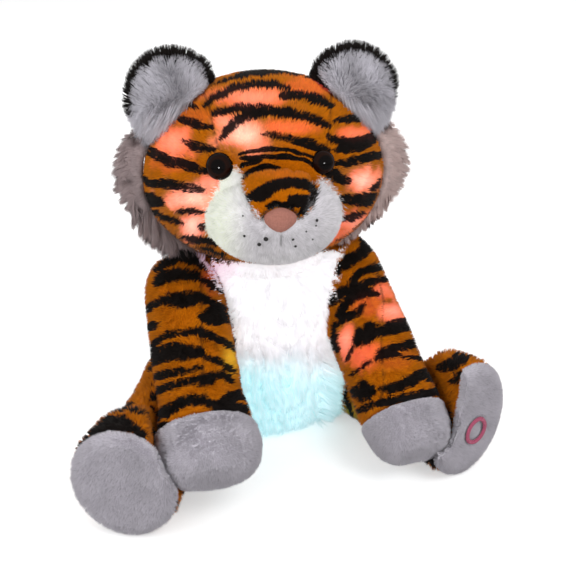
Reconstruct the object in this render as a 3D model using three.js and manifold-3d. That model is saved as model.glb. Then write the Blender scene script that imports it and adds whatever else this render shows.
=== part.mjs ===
// A plush tiger night light that sits on the floor, in millimetres, +Z up, facing -Y.
// The origin is on the floor under the middle of the torso's flat seat.
import * as THREE from "three";
import { mergeVertices } from "three/addons/utils/BufferGeometryUtils.js";
import Module from "manifold-3d";

const wasm = await Module();
wasm.setup();

// Gaps between soft pieces, round hard parts, and where one piece sweeps past another
const SEAM_GAP = 0.4;
const NECK_GAP = 0.9;
const PART_GAP = 0.4;
const SWEEP_GAP = 0.9;
const LIMB_SWEEP_GAP = 2.2;
const FLOOR_CUT = 0.6;
const SWEEP_COARSE = 0.4;
const COARSE = 0.28;
const TORSO_COARSE = 0.45;
const FAR = 400;
const WELD = 0.001;

// Torso: a pear on a flat seat, elliptical at the belly and round at the collar
const BELLY_HEIGHT = 108;
const BELLY_HALF_WIDTH = 70;
const BELLY_HALF_DEPTH = 60;
const BELLY_BACK = 4;
const COLLAR_HEIGHT = 46;
const COLLAR_RADIUS = 50;
const NECK_FORWARD = 12;
// Each row: share of the belly height, then shares of its half width and half depth
const BELLY_SHARES = [
  [0, 0.8, 0.76],
  [0.04, 0.9, 0.87],
  [0.14, 0.98, 0.97],
  [0.32, 1, 1],
  [0.52, 0.96, 0.97],
  [0.74, 0.88, 0.9],
];
// Each row: share of the collar height, then share of the collar radius
const COLLAR_SHARES = [
  [0.1, 1.08],
  [0.4, 0.98],
  [0.7, 0.84],
  [0.9, 0.62],
  [1, 0.34],
];

// Belly panel: a white sheet of plush over the torso's front
const PANEL_HALF_WIDTH = 46;
const PANEL_THICKNESS = 2;
// Each row: share of the belly height, then share of the panel's half width
const PANEL_SHARES = [
  [0.05, 0.55],
  [0.1, 0.8],
  [0.25, 0.97],
  [0.5, 1],
  [0.85, 0.95],
  [1.15, 0.9],
  [1.28, 0.72],
];

// Head: a wide egg low over the collar, turned a little to the tiger's right
const HEAD_HALF_WIDTH = 84;
const HEAD_HALF_DEPTH = 70;
const HEAD_HALF_HEIGHT = 67;
const HEAD_HEIGHT = 202;
const HEAD_FORWARD = 14;
const HEAD_TURN_DEG = -12;
const CHEEK_SHARE = 0.06;

// Muzzle, its striped bridge and the nose pad
const MUZZLE_HALF_WIDTH = 44;
const MUZZLE_HALF_DEPTH = 34;
const MUZZLE_HALF_HEIGHT = 30;
const MUZZLE_FORWARD = 63;
const MUZZLE_DROP = 12;
const BRIDGE_HALF_WIDTH = 25;
const BRIDGE_TIP_HALF_WIDTH = 14;
const BRIDGE_THICKNESS = 2;
const NOSE_HALF_WIDTH = 12;
const NOSE_HALF_DEPTH = 7;
const NOSE_HALF_HEIGHT = 8.5;
const NOSE_RISE_DEG = 22;

// Eyes: domes on posts, held from inside by washers
const EYE_RADIUS = 9.3;
const EYE_DOME = 6;
const EYE_SPREAD = 33;
const EYE_RISE = 24;
const EYE_PROUD = 1.2;
const EYE_POST_RADIUS = 2;
const EYE_POST_LENGTH = 17;
const WASHER_RADIUS = 8;
const WASHER_THICKNESS = 2.4;
const WASHER_BACK = 11;

// Ears: a black back, cupped round a white lining
const EAR_HALF_WIDTH = 32;
const EAR_HALF_HEIGHT = 33;
const EAR_HALF_DEPTH = 13;
const EAR_SPREAD = 60;
const EAR_RISE = 50;
const EAR_BACK = 4;
const EAR_LEAN_DEG = 24;
const LINING_SHARE = 0.8;
const LINING_FORWARD = 6;

// Cheek ruffs: tapering strips of long pile along the head's sides
const RUFF_HALF_WIDTH = 17;
const RUFF_HALF_DEPTH = 9;
const RUFF_OUT = 3;
const RUFF_TOP_DEG = 44;
const RUFF_BOTTOM_DEG = -51;
const RUFF_BACK = 2;
const RUFF_STEPS = 12;
const RUFF_END_SHARE = 0.25;

// Arms: stuffed tubes from the shoulders forward, each with a white paw
const SHOULDER_SPREAD = 62;
const SHOULDER_HEIGHT = 116;
const ARM_RADIUS = 29;
const ARM_REACH = 119;
const ARM_DROP = { left: 80, right: 67 };
const ARM_SPLAY = { left: 5.5, right: 13 };
const PAW_HALF_WIDTH = { left: 31, right: 36 };
const PAW_HALF_HEIGHT = 27;
const PAW_SEAM_SHARE = { left: 0.87, right: 0.82 };
const ARM_SWING_DEG = [0, 10, 20, 30];
// Each row: share of the arm's run, then shares of the arm radius across and up
const ARM_SHARES = [
  [-0.18, 0.4, 0.4],
  [-0.12, 0.75, 0.75],
  [0, 0.95, 0.95],
  [0.25, 0.98, 1],
  [0.5, 1, 1],
  [0.68, 0.98, 0.94],
];
// Each row: share of the arm's run, then shares of the paw's half width and half height
const PAW_SHARES = [
  [0.93, 1, 1],
  [1.04, 0.88, 0.86],
  [1.1, 0.6, 0.6],
];

// Legs: stuffed tubes that lie on the floor, splayed outwards, each with a white sole
const HIP_SPREAD = 62;
const HIP_FORWARD = 8;
const THIGH_RADIUS = 34;
const LEG_LENGTH = 137;
const LEG_SPLAY_DEG = { left: 20, right: 31 };
const LEG_SWING_DEG = [0, 6, 12];
const FOOT_HALF_WIDTH = 37;
const FOOT_HALF_HEIGHT = { left: 45, right: 41 };
const SOLE_SEAM_SHARE = 0.96;
// Each row: share of the leg's length, then shares of the thigh radius across and up
const LEG_SHARES = [
  [0, 0.96, 0.96],
  [0.3, 0.92, 0.92],
  [0.58, 0.92, 0.95],
];
// Each row: share of the leg's length, then shares of the foot's half width and half height
const FOOT_SHARES = [
  [0.76, 0.95, 0.95],
  [0.9, 1, 1],
  [1, 0.96, 0.96],
  [1.03, 0.82, 0.82],
];

// Raised embroidered ring on the left sole, over the foot switch
const RING_RADIUS = 9;
const RING_INWARD = -3;
const RING_DROP = 7;
const RING_THREAD = 1.6;
const SWITCH_RADIUS = 8;
const SWITCH_DEPTH = 9;
const SWITCH_WALL = 1.6;
const PLUNGER_RADIUS = 4;
const PLUNGER_FLANGE = 1.4;
const PLUNGER_THICKNESS = 2;
const PLUNGER_HEIGHT = 6;
const PLUNGER_PLAY = 1.8;

// Tail: a striped tube that curls round behind the seat
const TAIL_RADIUS = 11;
const TAIL_START = 50;
const TAIL_RUN = 54;
const TAIL_CURL = 78;
const TAIL_STEPS = 12;
const TAIL_SIDES = 12;
const TIP_SHARE = 0.84;
const TAIL_SWING_DEG = [-20, -7, 7, 20];

// Battery box for three AA cells, its sliding cover, and the pocket round it
const CELL_RADIUS = 7.1;
const CELL_LENGTH = 50;
const BOX_WALL = 1.8;
const CELL_GAP = 0.5;
const BOX_FORWARD_FACE = 14;
const POCKET_BOTTOM = 33;
const POCKET_SLACK = 1.6;
const COVER_THICKNESS = 1.8;
const COVER_TRAVEL = 7;
const CONTACT_ROOM = 2;

// Pocket flap with hook and loop tape, set into a shallow recess in the back
const FLAP_MARGIN = 5;
const FLAP_THICKNESS = 2;
const RECESS_DEPTH = 3.4;
const TAPE_THICKNESS = 0.8;
const TAPE_HEIGHT = 5;
const TAPE_HALF_WIDTH = 20;

// Control board and the lamps
const BOARD_WIDTH = 30;
const BOARD_THICKNESS = 1.6;
const BOARD_HEIGHT = 20;
const BOARD_BACK = 4;
const BOARD_RISE = 84;
const CHIP_WIDTH = 10;
const CHIP_THICKNESS = 2;
const LAMP_RADIUS = 7;
const LENS_RADIUS = 5;
const LENS_COLLAR = 2;
const LENS_HEIGHT = 6;
const LAMP_INSET = 44;
const CHEST_LAMP_HEIGHT = 108;
const BELLY_LAMP_HEIGHT = 46;
const BROW_LAMP_FORWARD = 62;
const BROW_LAMP_HEIGHT = 232;
const CHEEK_LAMP_SPREAD = 46;
const CHEEK_LAMP_FORWARD = 52;
const CHEEK_LAMP_HEIGHT = 188;
const LOOM_HEIGHT = 196;
const ARM_LAMP_SHARE = 0.4;
const ARM_LAMP_RISE = 8;
const WIRE_RADIUS = 1.6;
const LEG_WIRE_DIP = 12;
const LEG_WIRE_SHARE = 0.6;

// Colours, by finish
const ORANGE = 0xb0640f;
const WHITE = 0xe6e2de;
const BLACK = 0x141210;
const PINK = 0xc98880;
const ROSE = 0xb04a6e;
const EYE = 0x0d0807;
const PLASTIC = 0x2a2a2c;
const COPPER = 0x1f6a3a;
const CLEAR = 0xf2f4f4;
const WIRE = 0xa01818;
const CELL = 0x3a3f46;
const TAPE = 0xd8d4cc;

const RADIANS = Math.PI / 180;
const SIDES = { left: 1, right: -1 };
const X_AXIS = new THREE.Vector3(1, 0, 0);
const Y_AXIS = new THREE.Vector3(0, 1, 0);
const Z_AXIS = new THREE.Vector3(0, 0, 1);
const point = (x, y, z) => new THREE.Vector3(x, y, z);

// A BufferGeometry as a closed solid for cutting and joining
function solidOf(geometry) {
  const bare = new THREE.BufferGeometry();
  bare.setAttribute("position", geometry.getAttribute("position"));
  if (geometry.index) bare.setIndex(geometry.index);
  const merged = mergeVertices(bare, WELD);
  return new wasm.Manifold(
    new wasm.Mesh({
      numProp: 3,
      vertProperties: merged.getAttribute("position").array,
      triVerts: new Uint32Array(merged.index.array),
    }),
  );
}

// The solid as a BufferGeometry
function geometryOf(solid) {
  const mesh = solid.getMesh();
  const geometry = new THREE.BufferGeometry();
  geometry.setAttribute("position", new THREE.BufferAttribute(mesh.vertProperties, 3));
  geometry.setIndex(new THREE.BufferAttribute(mesh.triVerts, 1));
  geometry.computeVertexNormals();
  return geometry;
}

// The solid turned by degrees about a line through a pivot
function turned(solid, pivot, axis, degrees) {
  const matrix = new THREE.Matrix4()
    .makeTranslation(pivot)
    .multiply(new THREE.Matrix4().makeRotationAxis(axis, degrees * RADIANS))
    .multiply(new THREE.Matrix4().makeTranslation(pivot.clone().negate()));
  return solid.transform(matrix.elements);
}

// Everything a rounded solid passes through as it turns over the listed angles
function swept(solid, pivot, axis, degrees) {
  const places = degrees.map((angle) => turned(solid, pivot, axis, angle));
  return places
    .map((one, k) => (k ? wasm.Manifold.hull([places[k - 1], one]) : one))
    .reduce((all, one) => all.add(one))
    .simplify(SWEEP_COARSE);
}

// A closed skin over rings of points, with a point in the middle of each end ring
function loft(stations, sides) {
  const points = [];
  const faces = [];
  for (const { centre, across, up } of stations) {
    for (let i = 0; i < sides; i += 1) {
      const turn = (2 * Math.PI * i) / sides;
      const spoke = across.clone().multiplyScalar(Math.cos(turn)).addScaledVector(up, Math.sin(turn));
      points.push(spoke.add(centre));
    }
  }
  for (let ring = 0; ring + 1 < stations.length; ring += 1) {
    for (let i = 0; i < sides; i += 1) {
      const a = ring * sides + i;
      const b = ring * sides + ((i + 1) % sides);
      faces.push([a, b, b + sides], [a, b + sides, a + sides]);
    }
  }
  const last = (stations.length - 1) * sides;
  points.push(stations[0].centre.clone(), stations[stations.length - 1].centre.clone());
  for (let i = 0; i < sides; i += 1) {
    const next = (i + 1) % sides;
    faces.push([points.length - 2, next, i], [points.length - 1, last + i, last + next]);
  }
  const corner = new THREE.Vector3();
  const volume = faces.reduce(
    (sum, [a, b, c]) => sum + points[a].dot(corner.crossVectors(points[b], points[c])),
    0,
  );
  const outward = volume > 0 ? faces : faces.map(([a, b, c]) => [a, c, b]);
  const geometry = new THREE.BufferGeometry().setFromPoints(points);
  geometry.setIndex(outward.flat());
  return solidOf(geometry);
}

// A straight round rod between two points
function rod(from, to, radius, sides = 10) {
  const along = to.clone().sub(from).normalize();
  const helper = Math.abs(along.z) > 0.9 ? X_AXIS : Z_AXIS;
  const across = new THREE.Vector3().crossVectors(helper, along).normalize();
  const up = new THREE.Vector3().crossVectors(along, across);
  const station = (centre) => ({
    centre,
    across: across.clone().multiplyScalar(radius),
    up: up.clone().multiplyScalar(radius),
  });
  return loft([station(from), station(to)], sides);
}

// A pair of points, the second moved on along the line by an overrun
function reach(from, to, overrun) {
  const along = to.clone().sub(from).normalize();
  return [from, to.clone().addScaledVector(along, overrun)];
}

// One solid of rods along a list of point pairs
function loom(pairs, radius) {
  return pairs.map(([from, to]) => rod(from, to, radius)).reduce((all, one) => all.add(one));
}

// A block by its middle and full sizes
function block(centre, width, depth, height) {
  const box = new THREE.BoxGeometry(width, depth, height);
  box.translate(centre.x, centre.y, centre.z);
  return solidOf(box);
}

// A solid turned from a profile of radius and height rows, standing at a point along a direction
function turning(profile, at, direction, sides = 20) {
  const geometry = new THREE.LatheGeometry(
    profile.map(([radius, height]) => new THREE.Vector2(radius, height)),
    sides,
  );
  geometry.applyQuaternion(new THREE.Quaternion().setFromUnitVectors(Y_AXIS, direction));
  geometry.translate(at.x, at.y, at.z);
  return solidOf(geometry);
}

// An egg by its middle and half sizes
function egg(centre, halfWidth, halfDepth, halfHeight, around, rings) {
  const ball = new THREE.SphereGeometry(1, around, rings);
  ball.rotateX(Math.PI / 2);
  ball.scale(halfWidth, halfDepth, halfHeight);
  ball.translate(centre.x, centre.y, centre.z);
  return solidOf(ball);
}

// Everything under the floor
const underFloor = block(point(0, 0, -FAR / 2), FAR * 2, FAR * 2, FAR);

// The torso's outer form, grown by a margin
function torsoForm(grow) {
  const belly = BELLY_SHARES.map(([at, wide, deep]) => ({
    centre: point(0, BELLY_BACK - (BELLY_BACK + NECK_FORWARD) * at, BELLY_HEIGHT * at),
    across: point(BELLY_HALF_WIDTH * wide + grow, 0, 0),
    up: point(0, BELLY_HALF_DEPTH * deep + grow, 0),
  }));
  const collar = COLLAR_SHARES.map(([at, wide]) => ({
    centre: point(0, -NECK_FORWARD, BELLY_HEIGHT + (COLLAR_HEIGHT + grow) * at),
    across: point(COLLAR_RADIUS * wide + grow, 0, 0),
    up: point(0, COLLAR_RADIUS * wide + grow, 0),
  }));
  return loft([...belly, ...collar], 28);
}

// The head's form, straight ahead, grown by a margin
const headMiddle = point(0, -HEAD_FORWARD, HEAD_HEIGHT);
function headForm(grow) {
  const ball = new THREE.SphereGeometry(1, 28, 18);
  ball.rotateX(Math.PI / 2);
  const place = ball.getAttribute("position");
  for (let i = 0; i < place.count; i += 1) {
    place.setX(i, place.getX(i) * (1 - CHEEK_SHARE * place.getZ(i)));
  }
  ball.scale(HEAD_HALF_WIDTH + grow, HEAD_HALF_DEPTH + grow, HEAD_HALF_HEIGHT + grow);
  ball.translate(headMiddle.x, headMiddle.y, headMiddle.z);
  return solidOf(ball);
}

const muzzleMiddle = point(0, -HEAD_FORWARD - MUZZLE_FORWARD, HEAD_HEIGHT - MUZZLE_DROP);
function muzzleForm(grow) {
  return egg(
    muzzleMiddle,
    MUZZLE_HALF_WIDTH + grow,
    MUZZLE_HALF_DEPTH + grow,
    MUZZLE_HALF_HEIGHT + grow,
    24,
    14,
  );
}

function earForm(side, shrink, forward, grow) {
  const disc = new THREE.SphereGeometry(1, 20, 12);
  disc.rotateX(Math.PI / 2);
  disc.scale(
    EAR_HALF_WIDTH * shrink + grow,
    EAR_HALF_DEPTH + grow,
    EAR_HALF_HEIGHT * shrink + grow,
  );
  disc.translate(0, -forward, 0);
  disc.rotateY(side * EAR_LEAN_DEG * RADIANS);
  disc.translate(side * EAR_SPREAD, -HEAD_FORWARD + EAR_BACK, HEAD_HEIGHT + EAR_RISE);
  return solidOf(disc);
}

function ruffForm(side) {
  const stations = [];
  for (let i = 0; i <= RUFF_STEPS; i += 1) {
    const share = i / RUFF_STEPS;
    const angle = (RUFF_TOP_DEG + (RUFF_BOTTOM_DEG - RUFF_TOP_DEG) * share) * RADIANS;
    const swell = RUFF_END_SHARE + (1 - RUFF_END_SHARE) * Math.sin(Math.PI * share);
    const out = point(side * Math.cos(angle), 0, Math.sin(angle));
    stations.push({
      centre: point(
        side * (HEAD_HALF_WIDTH + RUFF_OUT) * Math.cos(angle),
        -HEAD_FORWARD + RUFF_BACK,
        HEAD_HEIGHT + (HEAD_HALF_HEIGHT + RUFF_OUT) * Math.sin(angle),
      ),
      across: out.multiplyScalar(RUFF_HALF_WIDTH * swell),
      up: point(0, RUFF_HALF_DEPTH * swell, 0),
    });
  }
  return loft(stations, 10);
}

const shoulderOf = (side) => point(SIDES[side] * SHOULDER_SPREAD, -NECK_FORWARD, SHOULDER_HEIGHT);
const armRun = (side) => point(SIDES[side] * ARM_SPLAY[side], -ARM_REACH, -ARM_DROP[side]);

// The directions across and up over an arm
function armFrame(side) {
  const along = armRun(side).normalize();
  const across = X_AXIS.clone().addScaledVector(along, -along.x).normalize();
  return { along, across, up: new THREE.Vector3().crossVectors(along, across) };
}

// Arm and paw in one, grown by a margin
function armForm(side, grow, sides = 20) {
  const { along, across, up } = armFrame(side);
  const upper = ARM_SHARES.map(([at, wide, high]) => [at, ARM_RADIUS * wide, ARM_RADIUS * high]);
  const lower = PAW_SHARES.map(([at, wide, high]) => [at, PAW_HALF_WIDTH[side] * wide, PAW_HALF_HEIGHT * high]);
  const rows = [...upper, ...lower];
  const stations = rows.map(([at, wide, high], i) => ({
    centre: shoulderOf(side)
      .addScaledVector(armRun(side), at)
      .addScaledVector(along, i === 0 ? -grow : i === rows.length - 1 ? grow : 0),
    across: across.clone().multiplyScalar(wide + grow),
    up: up.clone().multiplyScalar(high + grow),
  }));
  return loft(stations, sides);
}

const hipOf = (side) => point(SIDES[side] * HIP_SPREAD, -HIP_FORWARD, THIGH_RADIUS - FLOOR_CUT);

// The directions along and across a leg
function legFrame(side) {
  const angle = LEG_SPLAY_DEG[side] * RADIANS;
  return {
    along: point(SIDES[side] * Math.sin(angle), -Math.cos(angle), 0),
    across: point(Math.cos(angle), SIDES[side] * Math.sin(angle), 0),
  };
}

// The ball of the hip, and leg and foot in one, grown by a margin
function hipBall(side, grow) {
  const radius = THIGH_RADIUS + grow;
  return egg(hipOf(side), radius, radius, radius, 16, 10);
}
function legTube(side, grow, sides = 18) {
  const { along, across } = legFrame(side);
  const thigh = LEG_SHARES.map(([at, wide, high]) => [at, THIGH_RADIUS * wide, THIGH_RADIUS * high]);
  const foot = FOOT_SHARES.map(([at, wide, high]) => [
    at,
    FOOT_HALF_WIDTH * wide,
    FOOT_HALF_HEIGHT[side] * high,
  ]);
  const tallest = { thigh: THIGH_RADIUS, foot: FOOT_HALF_HEIGHT[side] };
  const rows = [...thigh, ...foot];
  const stations = rows.map(([at, wide, high], i) => ({
    centre: point(
      hipOf(side).x,
      -HIP_FORWARD,
      (i >= LEG_SHARES.length ? tallest.foot : high) - FLOOR_CUT,
    )
      .addScaledVector(along, LEG_LENGTH * at + (i === rows.length - 1 ? grow : 0)),
    across: across.clone().multiplyScalar(wide + grow),
    up: point(0, 0, high + grow),
  }));
  return loft(stations, sides);
}

// The parts of a limb on either side of a flat seam across it
function splitAt(solid, seam, along) {
  return {
    near: solid.trimByPlane(along.clone().negate().toArray(), -seam.dot(along) + SEAM_GAP / 2),
    far: solid.trimByPlane(along.toArray(), seam.dot(along) + SEAM_GAP / 2),
  };
}

// A lamp is a round board with a clear lens on its front
const lampBoard = (at, aim) => rod(at, at.clone().addScaledVector(aim, BOARD_THICKNESS), LAMP_RADIUS, 16);
function lampLens(at, aim) {
  const foot = at.clone().addScaledVector(aim, BOARD_THICKNESS + PART_GAP);
  const dome = [0, 1, 2, 3, 4].map((step) => {
    const angle = (step / 4) * (Math.PI / 2);
    return [LENS_RADIUS * Math.cos(angle), LENS_COLLAR + (LENS_HEIGHT - LENS_COLLAR) * Math.sin(angle)];
  });
  dome[4][0] = 0;
  return turning([[0, 0], [LENS_RADIUS, 0], ...dome], foot, aim, 12);
}
function lampRoom(at, aim) {
  const back = at.clone().addScaledVector(aim, -PART_GAP);
  const front = at.clone().addScaledVector(aim, BOARD_THICKNESS + LENS_HEIGHT + 3 * PART_GAP);
  return rod(back, front, LAMP_RADIUS + PART_GAP, 16);
}

const group = new THREE.Group();
const soft = { roughness: 0.95, metalness: 0 };
const hard = { roughness: 0.35, metalness: 0 };
function place(name, solid, color, finish = soft) {
  const mesh = new THREE.Mesh(
    geometryOf(solid),
    new THREE.MeshStandardMaterial({ color, ...finish }),
  );
  mesh.name = name;
  group.add(mesh);
}

// Head solids are made straight ahead and turned as they are placed
const neck = point(0, -NECK_FORWARD, 0);
const facing = (solid) => turned(solid, neck, Z_AXIS, HEAD_TURN_DEG);

// Limbs as they are, and all they sweep through
const arms = {};
const armSweeps = {};
const legs = {};
const legSweeps = {};
for (const side of Object.keys(SIDES)) {
  arms[side] = armForm(side, 0);
  armSweeps[side] = swept(armForm(side, LIMB_SWEEP_GAP, 10), shoulderOf(side), X_AXIS, ARM_SWING_DEG.map((a) => -a));
  const outward = LEG_SWING_DEG.map((angle) => SIDES[side] * angle);
  legSweeps[side] = swept(legTube(side, LIMB_SWEEP_GAP, 12), hipOf(side), Z_AXIS, outward).add(
    hipBall(side, SWEEP_GAP),
  );
  const pastLeg = swept(armSweeps[side], hipOf(side), Z_AXIS, outward.map((angle) => -angle));
  legs[side] = legTube(side, 0)
    .add(hipBall(side, 0))
    .subtract(pastLeg)
    .subtract(underFloor)
    .simplify(COARSE);
}

// Tail: one curl on the floor, split where the black tip is sewn on
const tailPath = new THREE.CatmullRomCurve3([
  point(0, TAIL_START, TAIL_RADIUS - FLOOR_CUT + TAIL_RADIUS / 2),
  point(0, TAIL_START + TAIL_RUN * 0.4, TAIL_RADIUS - FLOOR_CUT + TAIL_RADIUS / 8),
  point(TAIL_CURL * 0.22, TAIL_START + TAIL_RUN * 0.82, TAIL_RADIUS - FLOOR_CUT),
  point(TAIL_CURL * 0.62, TAIL_START + TAIL_RUN, TAIL_RADIUS - FLOOR_CUT),
  point(TAIL_CURL, TAIL_START + TAIL_RUN * 0.8, TAIL_RADIUS - FLOOR_CUT),
]);
const tailRoot = tailPath.getPointAt(0);
const tailBall = (grow) =>
  egg(tailRoot, TAIL_RADIUS + grow, TAIL_RADIUS + grow, TAIL_RADIUS + grow, 12, 8);
function tailTube(grow, sides) {
  const stations = [];
  for (let i = 0; i <= TAIL_STEPS; i += 1) {
    const share = i / TAIL_STEPS;
    const along = tailPath.getTangentAt(share);
    const across = new THREE.Vector3().crossVectors(Z_AXIS, along).normalize();
    const up = new THREE.Vector3().crossVectors(along, across);
    const radius = TAIL_RADIUS * Math.min(1, Math.sqrt(Math.max(0.1, (1 - share) * 8))) + grow;
    stations.push({
      centre: tailPath.getPointAt(share),
      across: across.multiplyScalar(radius),
      up: up.multiplyScalar(radius),
    });
  }
  return loft(stations, sides);
}
const tail = tailTube(0, TAIL_SIDES).add(tailBall(0)).subtract(underFloor);
const tipSeam = tailPath.getPointAt(TIP_SHARE);
const tipAlong = tailPath.getTangentAt(TIP_SHARE);

// Battery box, its room and its cover
const boxWidth = 3 * 2 * CELL_RADIUS + 4 * CELL_GAP + 2 * BOX_WALL;
const boxDepth = 2 * CELL_RADIUS + 2 * CELL_GAP + BOX_WALL;
const boxHeight = CELL_LENGTH + 2 * CONTACT_ROOM + 2 * BOX_WALL;
const boxBottom = POCKET_BOTTOM + POCKET_SLACK;
const boxMiddle = point(0, BOX_FORWARD_FACE + boxDepth / 2, boxBottom + boxHeight / 2);
const boxRoom = block(
  point(0, BOX_FORWARD_FACE + BOX_WALL + boxDepth / 2, boxMiddle.z),
  boxWidth - 2 * BOX_WALL,
  boxDepth,
  boxHeight - 2 * BOX_WALL,
);
const batteryBox = block(boxMiddle, boxWidth, boxDepth, boxHeight).subtract(boxRoom);
const coverMiddle = point(
  0,
  BOX_FORWARD_FACE + boxDepth + PART_GAP + COVER_THICKNESS / 2,
  boxMiddle.z,
);
const pocketHeight = boxHeight + 2 * POCKET_SLACK + COVER_TRAVEL;
const pocketMiddle = POCKET_BOTTOM + pocketHeight / 2;
const pocket = block(
  point(0, BOX_FORWARD_FACE - PART_GAP + FAR / 2, pocketMiddle),
  boxWidth + 2 * POCKET_SLACK,
  FAR,
  pocketHeight,
);

// The flap's outline, seen from behind, and shells of the torso's form inside it
const behind = (halfWidth, bottom, top) =>
  block(point(0, FAR / 2, (bottom + top) / 2), 2 * halfWidth, FAR, top - bottom);
const shell = (inner, outer, outline) =>
  torsoForm(outer).subtract(torsoForm(inner)).intersect(outline);
const flapHalfWidth = boxWidth / 2 + POCKET_SLACK + FLAP_MARGIN;
const flapBottom = POCKET_BOTTOM - FLAP_MARGIN;
const flapTop = POCKET_BOTTOM + pocketHeight + FLAP_MARGIN;
const recess = behind(flapHalfWidth + SEAM_GAP, flapBottom - SEAM_GAP, flapTop + SEAM_GAP).subtract(
  torsoForm(-RECESS_DEPTH),
);
const flapInner = -SEAM_GAP;
const flap = shell(flapInner, flapInner + FLAP_THICKNESS, behind(flapHalfWidth, flapBottom, flapTop));
const tapeOutline = behind(TAPE_HALF_WIDTH, flapBottom + 1 * PART_GAP, flapBottom + TAPE_HEIGHT);
const loopTape = shell(
  -RECESS_DEPTH + PART_GAP,
  -RECESS_DEPTH + PART_GAP + TAPE_THICKNESS,
  tapeOutline,
);
const hookTape = shell(
  flapInner - PART_GAP - TAPE_THICKNESS,
  flapInner - PART_GAP,
  tapeOutline,
);

// Belly panel, seen from the front
const panelShape = new THREE.Shape([
  ...PANEL_SHARES.map(([at, wide]) => new THREE.Vector2(PANEL_HALF_WIDTH * wide, BELLY_HEIGHT * at)),
  ...[...PANEL_SHARES]
    .reverse()
    .map(([at, wide]) => new THREE.Vector2(-PANEL_HALF_WIDTH * wide, BELLY_HEIGHT * at)),
]);
const panelPrism = new THREE.ExtrudeGeometry(panelShape, { depth: FAR, bevelEnabled: false });
panelPrism.rotateX(Math.PI / 2);
const bellyPanel = shell(SEAM_GAP, SEAM_GAP + PANEL_THICKNESS, solidOf(panelPrism))
  .subtract(armSweeps.left)
  .subtract(armSweeps.right)
  .subtract(legSweeps.left)
  .subtract(legSweeps.right)
  .simplify(COARSE / 2);

// Control board with one chip, and the room round it
const boardMiddle = point(0, BOARD_BACK, BOARD_RISE);
const chipMiddle = point(0, BOARD_BACK + BOARD_THICKNESS / 2 + CHIP_THICKNESS / 2, BOARD_RISE - BOARD_HEIGHT / 4);
const controlBoard = block(boardMiddle, BOARD_WIDTH, BOARD_THICKNESS, BOARD_HEIGHT).add(
  block(chipMiddle, CHIP_WIDTH, CHIP_THICKNESS + WELD, CHIP_WIDTH),
);
const boardFront = BOARD_BACK - BOARD_THICKNESS / 2 - PART_GAP;
const boardRear = BOARD_BACK + BOARD_THICKNESS / 2 + PART_GAP;
const boardRoom = block(
  point(0, BOARD_BACK + CHIP_THICKNESS / 2, BOARD_RISE),
  BOARD_WIDTH + 2 * PART_GAP,
  BOARD_THICKNESS + CHIP_THICKNESS + 2 * PART_GAP,
  BOARD_HEIGHT + 2 * PART_GAP,
);

// Lamps in the torso look forward, and their wires run back to the board
const AHEAD = point(0, -1, 0);
const chestLamp = point(0, -LAMP_INSET, CHEST_LAMP_HEIGHT);
const bellyLamp = point(0, -LAMP_INSET, BELLY_LAMP_HEIGHT);
const wireBack = -LAMP_INSET / 2;
const collarTop = BELLY_HEIGHT + COLLAR_HEIGHT;
const shoulder = shoulderOf("left");
const hip = hipOf("left");
const torsoRuns = (overrun) => [
  [point(0, boardFront, BOARD_RISE), point(0, wireBack - WIRE_RADIUS, BOARD_RISE)],
  [point(0, wireBack, BELLY_LAMP_HEIGHT - WIRE_RADIUS), point(0, wireBack, CHEST_LAMP_HEIGHT + WIRE_RADIUS)],
  [
    point(0, wireBack, CHEST_LAMP_HEIGHT),
    point(0, PART_GAP - LAMP_INSET - overrun, CHEST_LAMP_HEIGHT),
  ],
  [
    point(0, wireBack, BELLY_LAMP_HEIGHT),
    point(0, PART_GAP - LAMP_INSET - overrun, BELLY_LAMP_HEIGHT),
  ],
  [point(0, -NECK_FORWARD, BOARD_RISE), point(0, -NECK_FORWARD, collarTop - PART_GAP + overrun)],
  [
    point(-WIRE_RADIUS, -NECK_FORWARD, shoulder.z),
    point(shoulder.x - ARM_RADIUS - SWEEP_GAP - PART_GAP + overrun, -NECK_FORWARD, shoulder.z),
  ],
  [point(0, -HIP_FORWARD, BOARD_RISE), point(0, -HIP_FORWARD, hip.z - WIRE_RADIUS)],
  [
    point(0, -HIP_FORWARD, hip.z),
    point(hip.x - THIGH_RADIUS - SWEEP_GAP - PART_GAP + overrun, -HIP_FORWARD, hip.z),
  ],
];
const leadRun = (overrun) => [
  [
    point(0, boardRear, BOARD_RISE + BOARD_HEIGHT / 4),
    point(0, BOX_FORWARD_FACE - PART_GAP + overrun, BOARD_RISE + BOARD_HEIGHT / 4),
  ],
];
const wireRoom = WIRE_RADIUS + PART_GAP;

// Torso, cut for the limbs, the tail, the pocket and all that is inside it
const torso = torsoForm(0)
  .subtract(armSweeps.left)
  .subtract(armSweeps.right)
  .subtract(legSweeps.left)
  .subtract(legSweeps.right)
  .subtract(swept(tailTube(LIMB_SWEEP_GAP, 8), tailRoot, Z_AXIS, TAIL_SWING_DEG))
  .subtract(tailBall(SWEEP_GAP))
  .simplify(TORSO_COARSE)
  .subtract(pocket)
  .subtract(recess)
  .subtract(boardRoom)
  .subtract(lampRoom(chestLamp, AHEAD))
  .subtract(lampRoom(bellyLamp, AHEAD))
  .subtract(loom(torsoRuns(wireRoom), wireRoom))
  .subtract(loom(leadRun(wireRoom), wireRoom));
place("torso", torso, ORANGE);
place("belly_panel", bellyPanel, WHITE);
place("pocket_flap", flap, ORANGE);
place("flap_hook_tape", hookTape, TAPE);
place("pocket_loop_tape", loopTape, TAPE);
place("battery_box", batteryBox, PLASTIC, hard);
place(
  "battery_cover",
  block(coverMiddle, boxWidth, COVER_THICKNESS, boxHeight),
  PLASTIC,
  hard,
);
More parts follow.
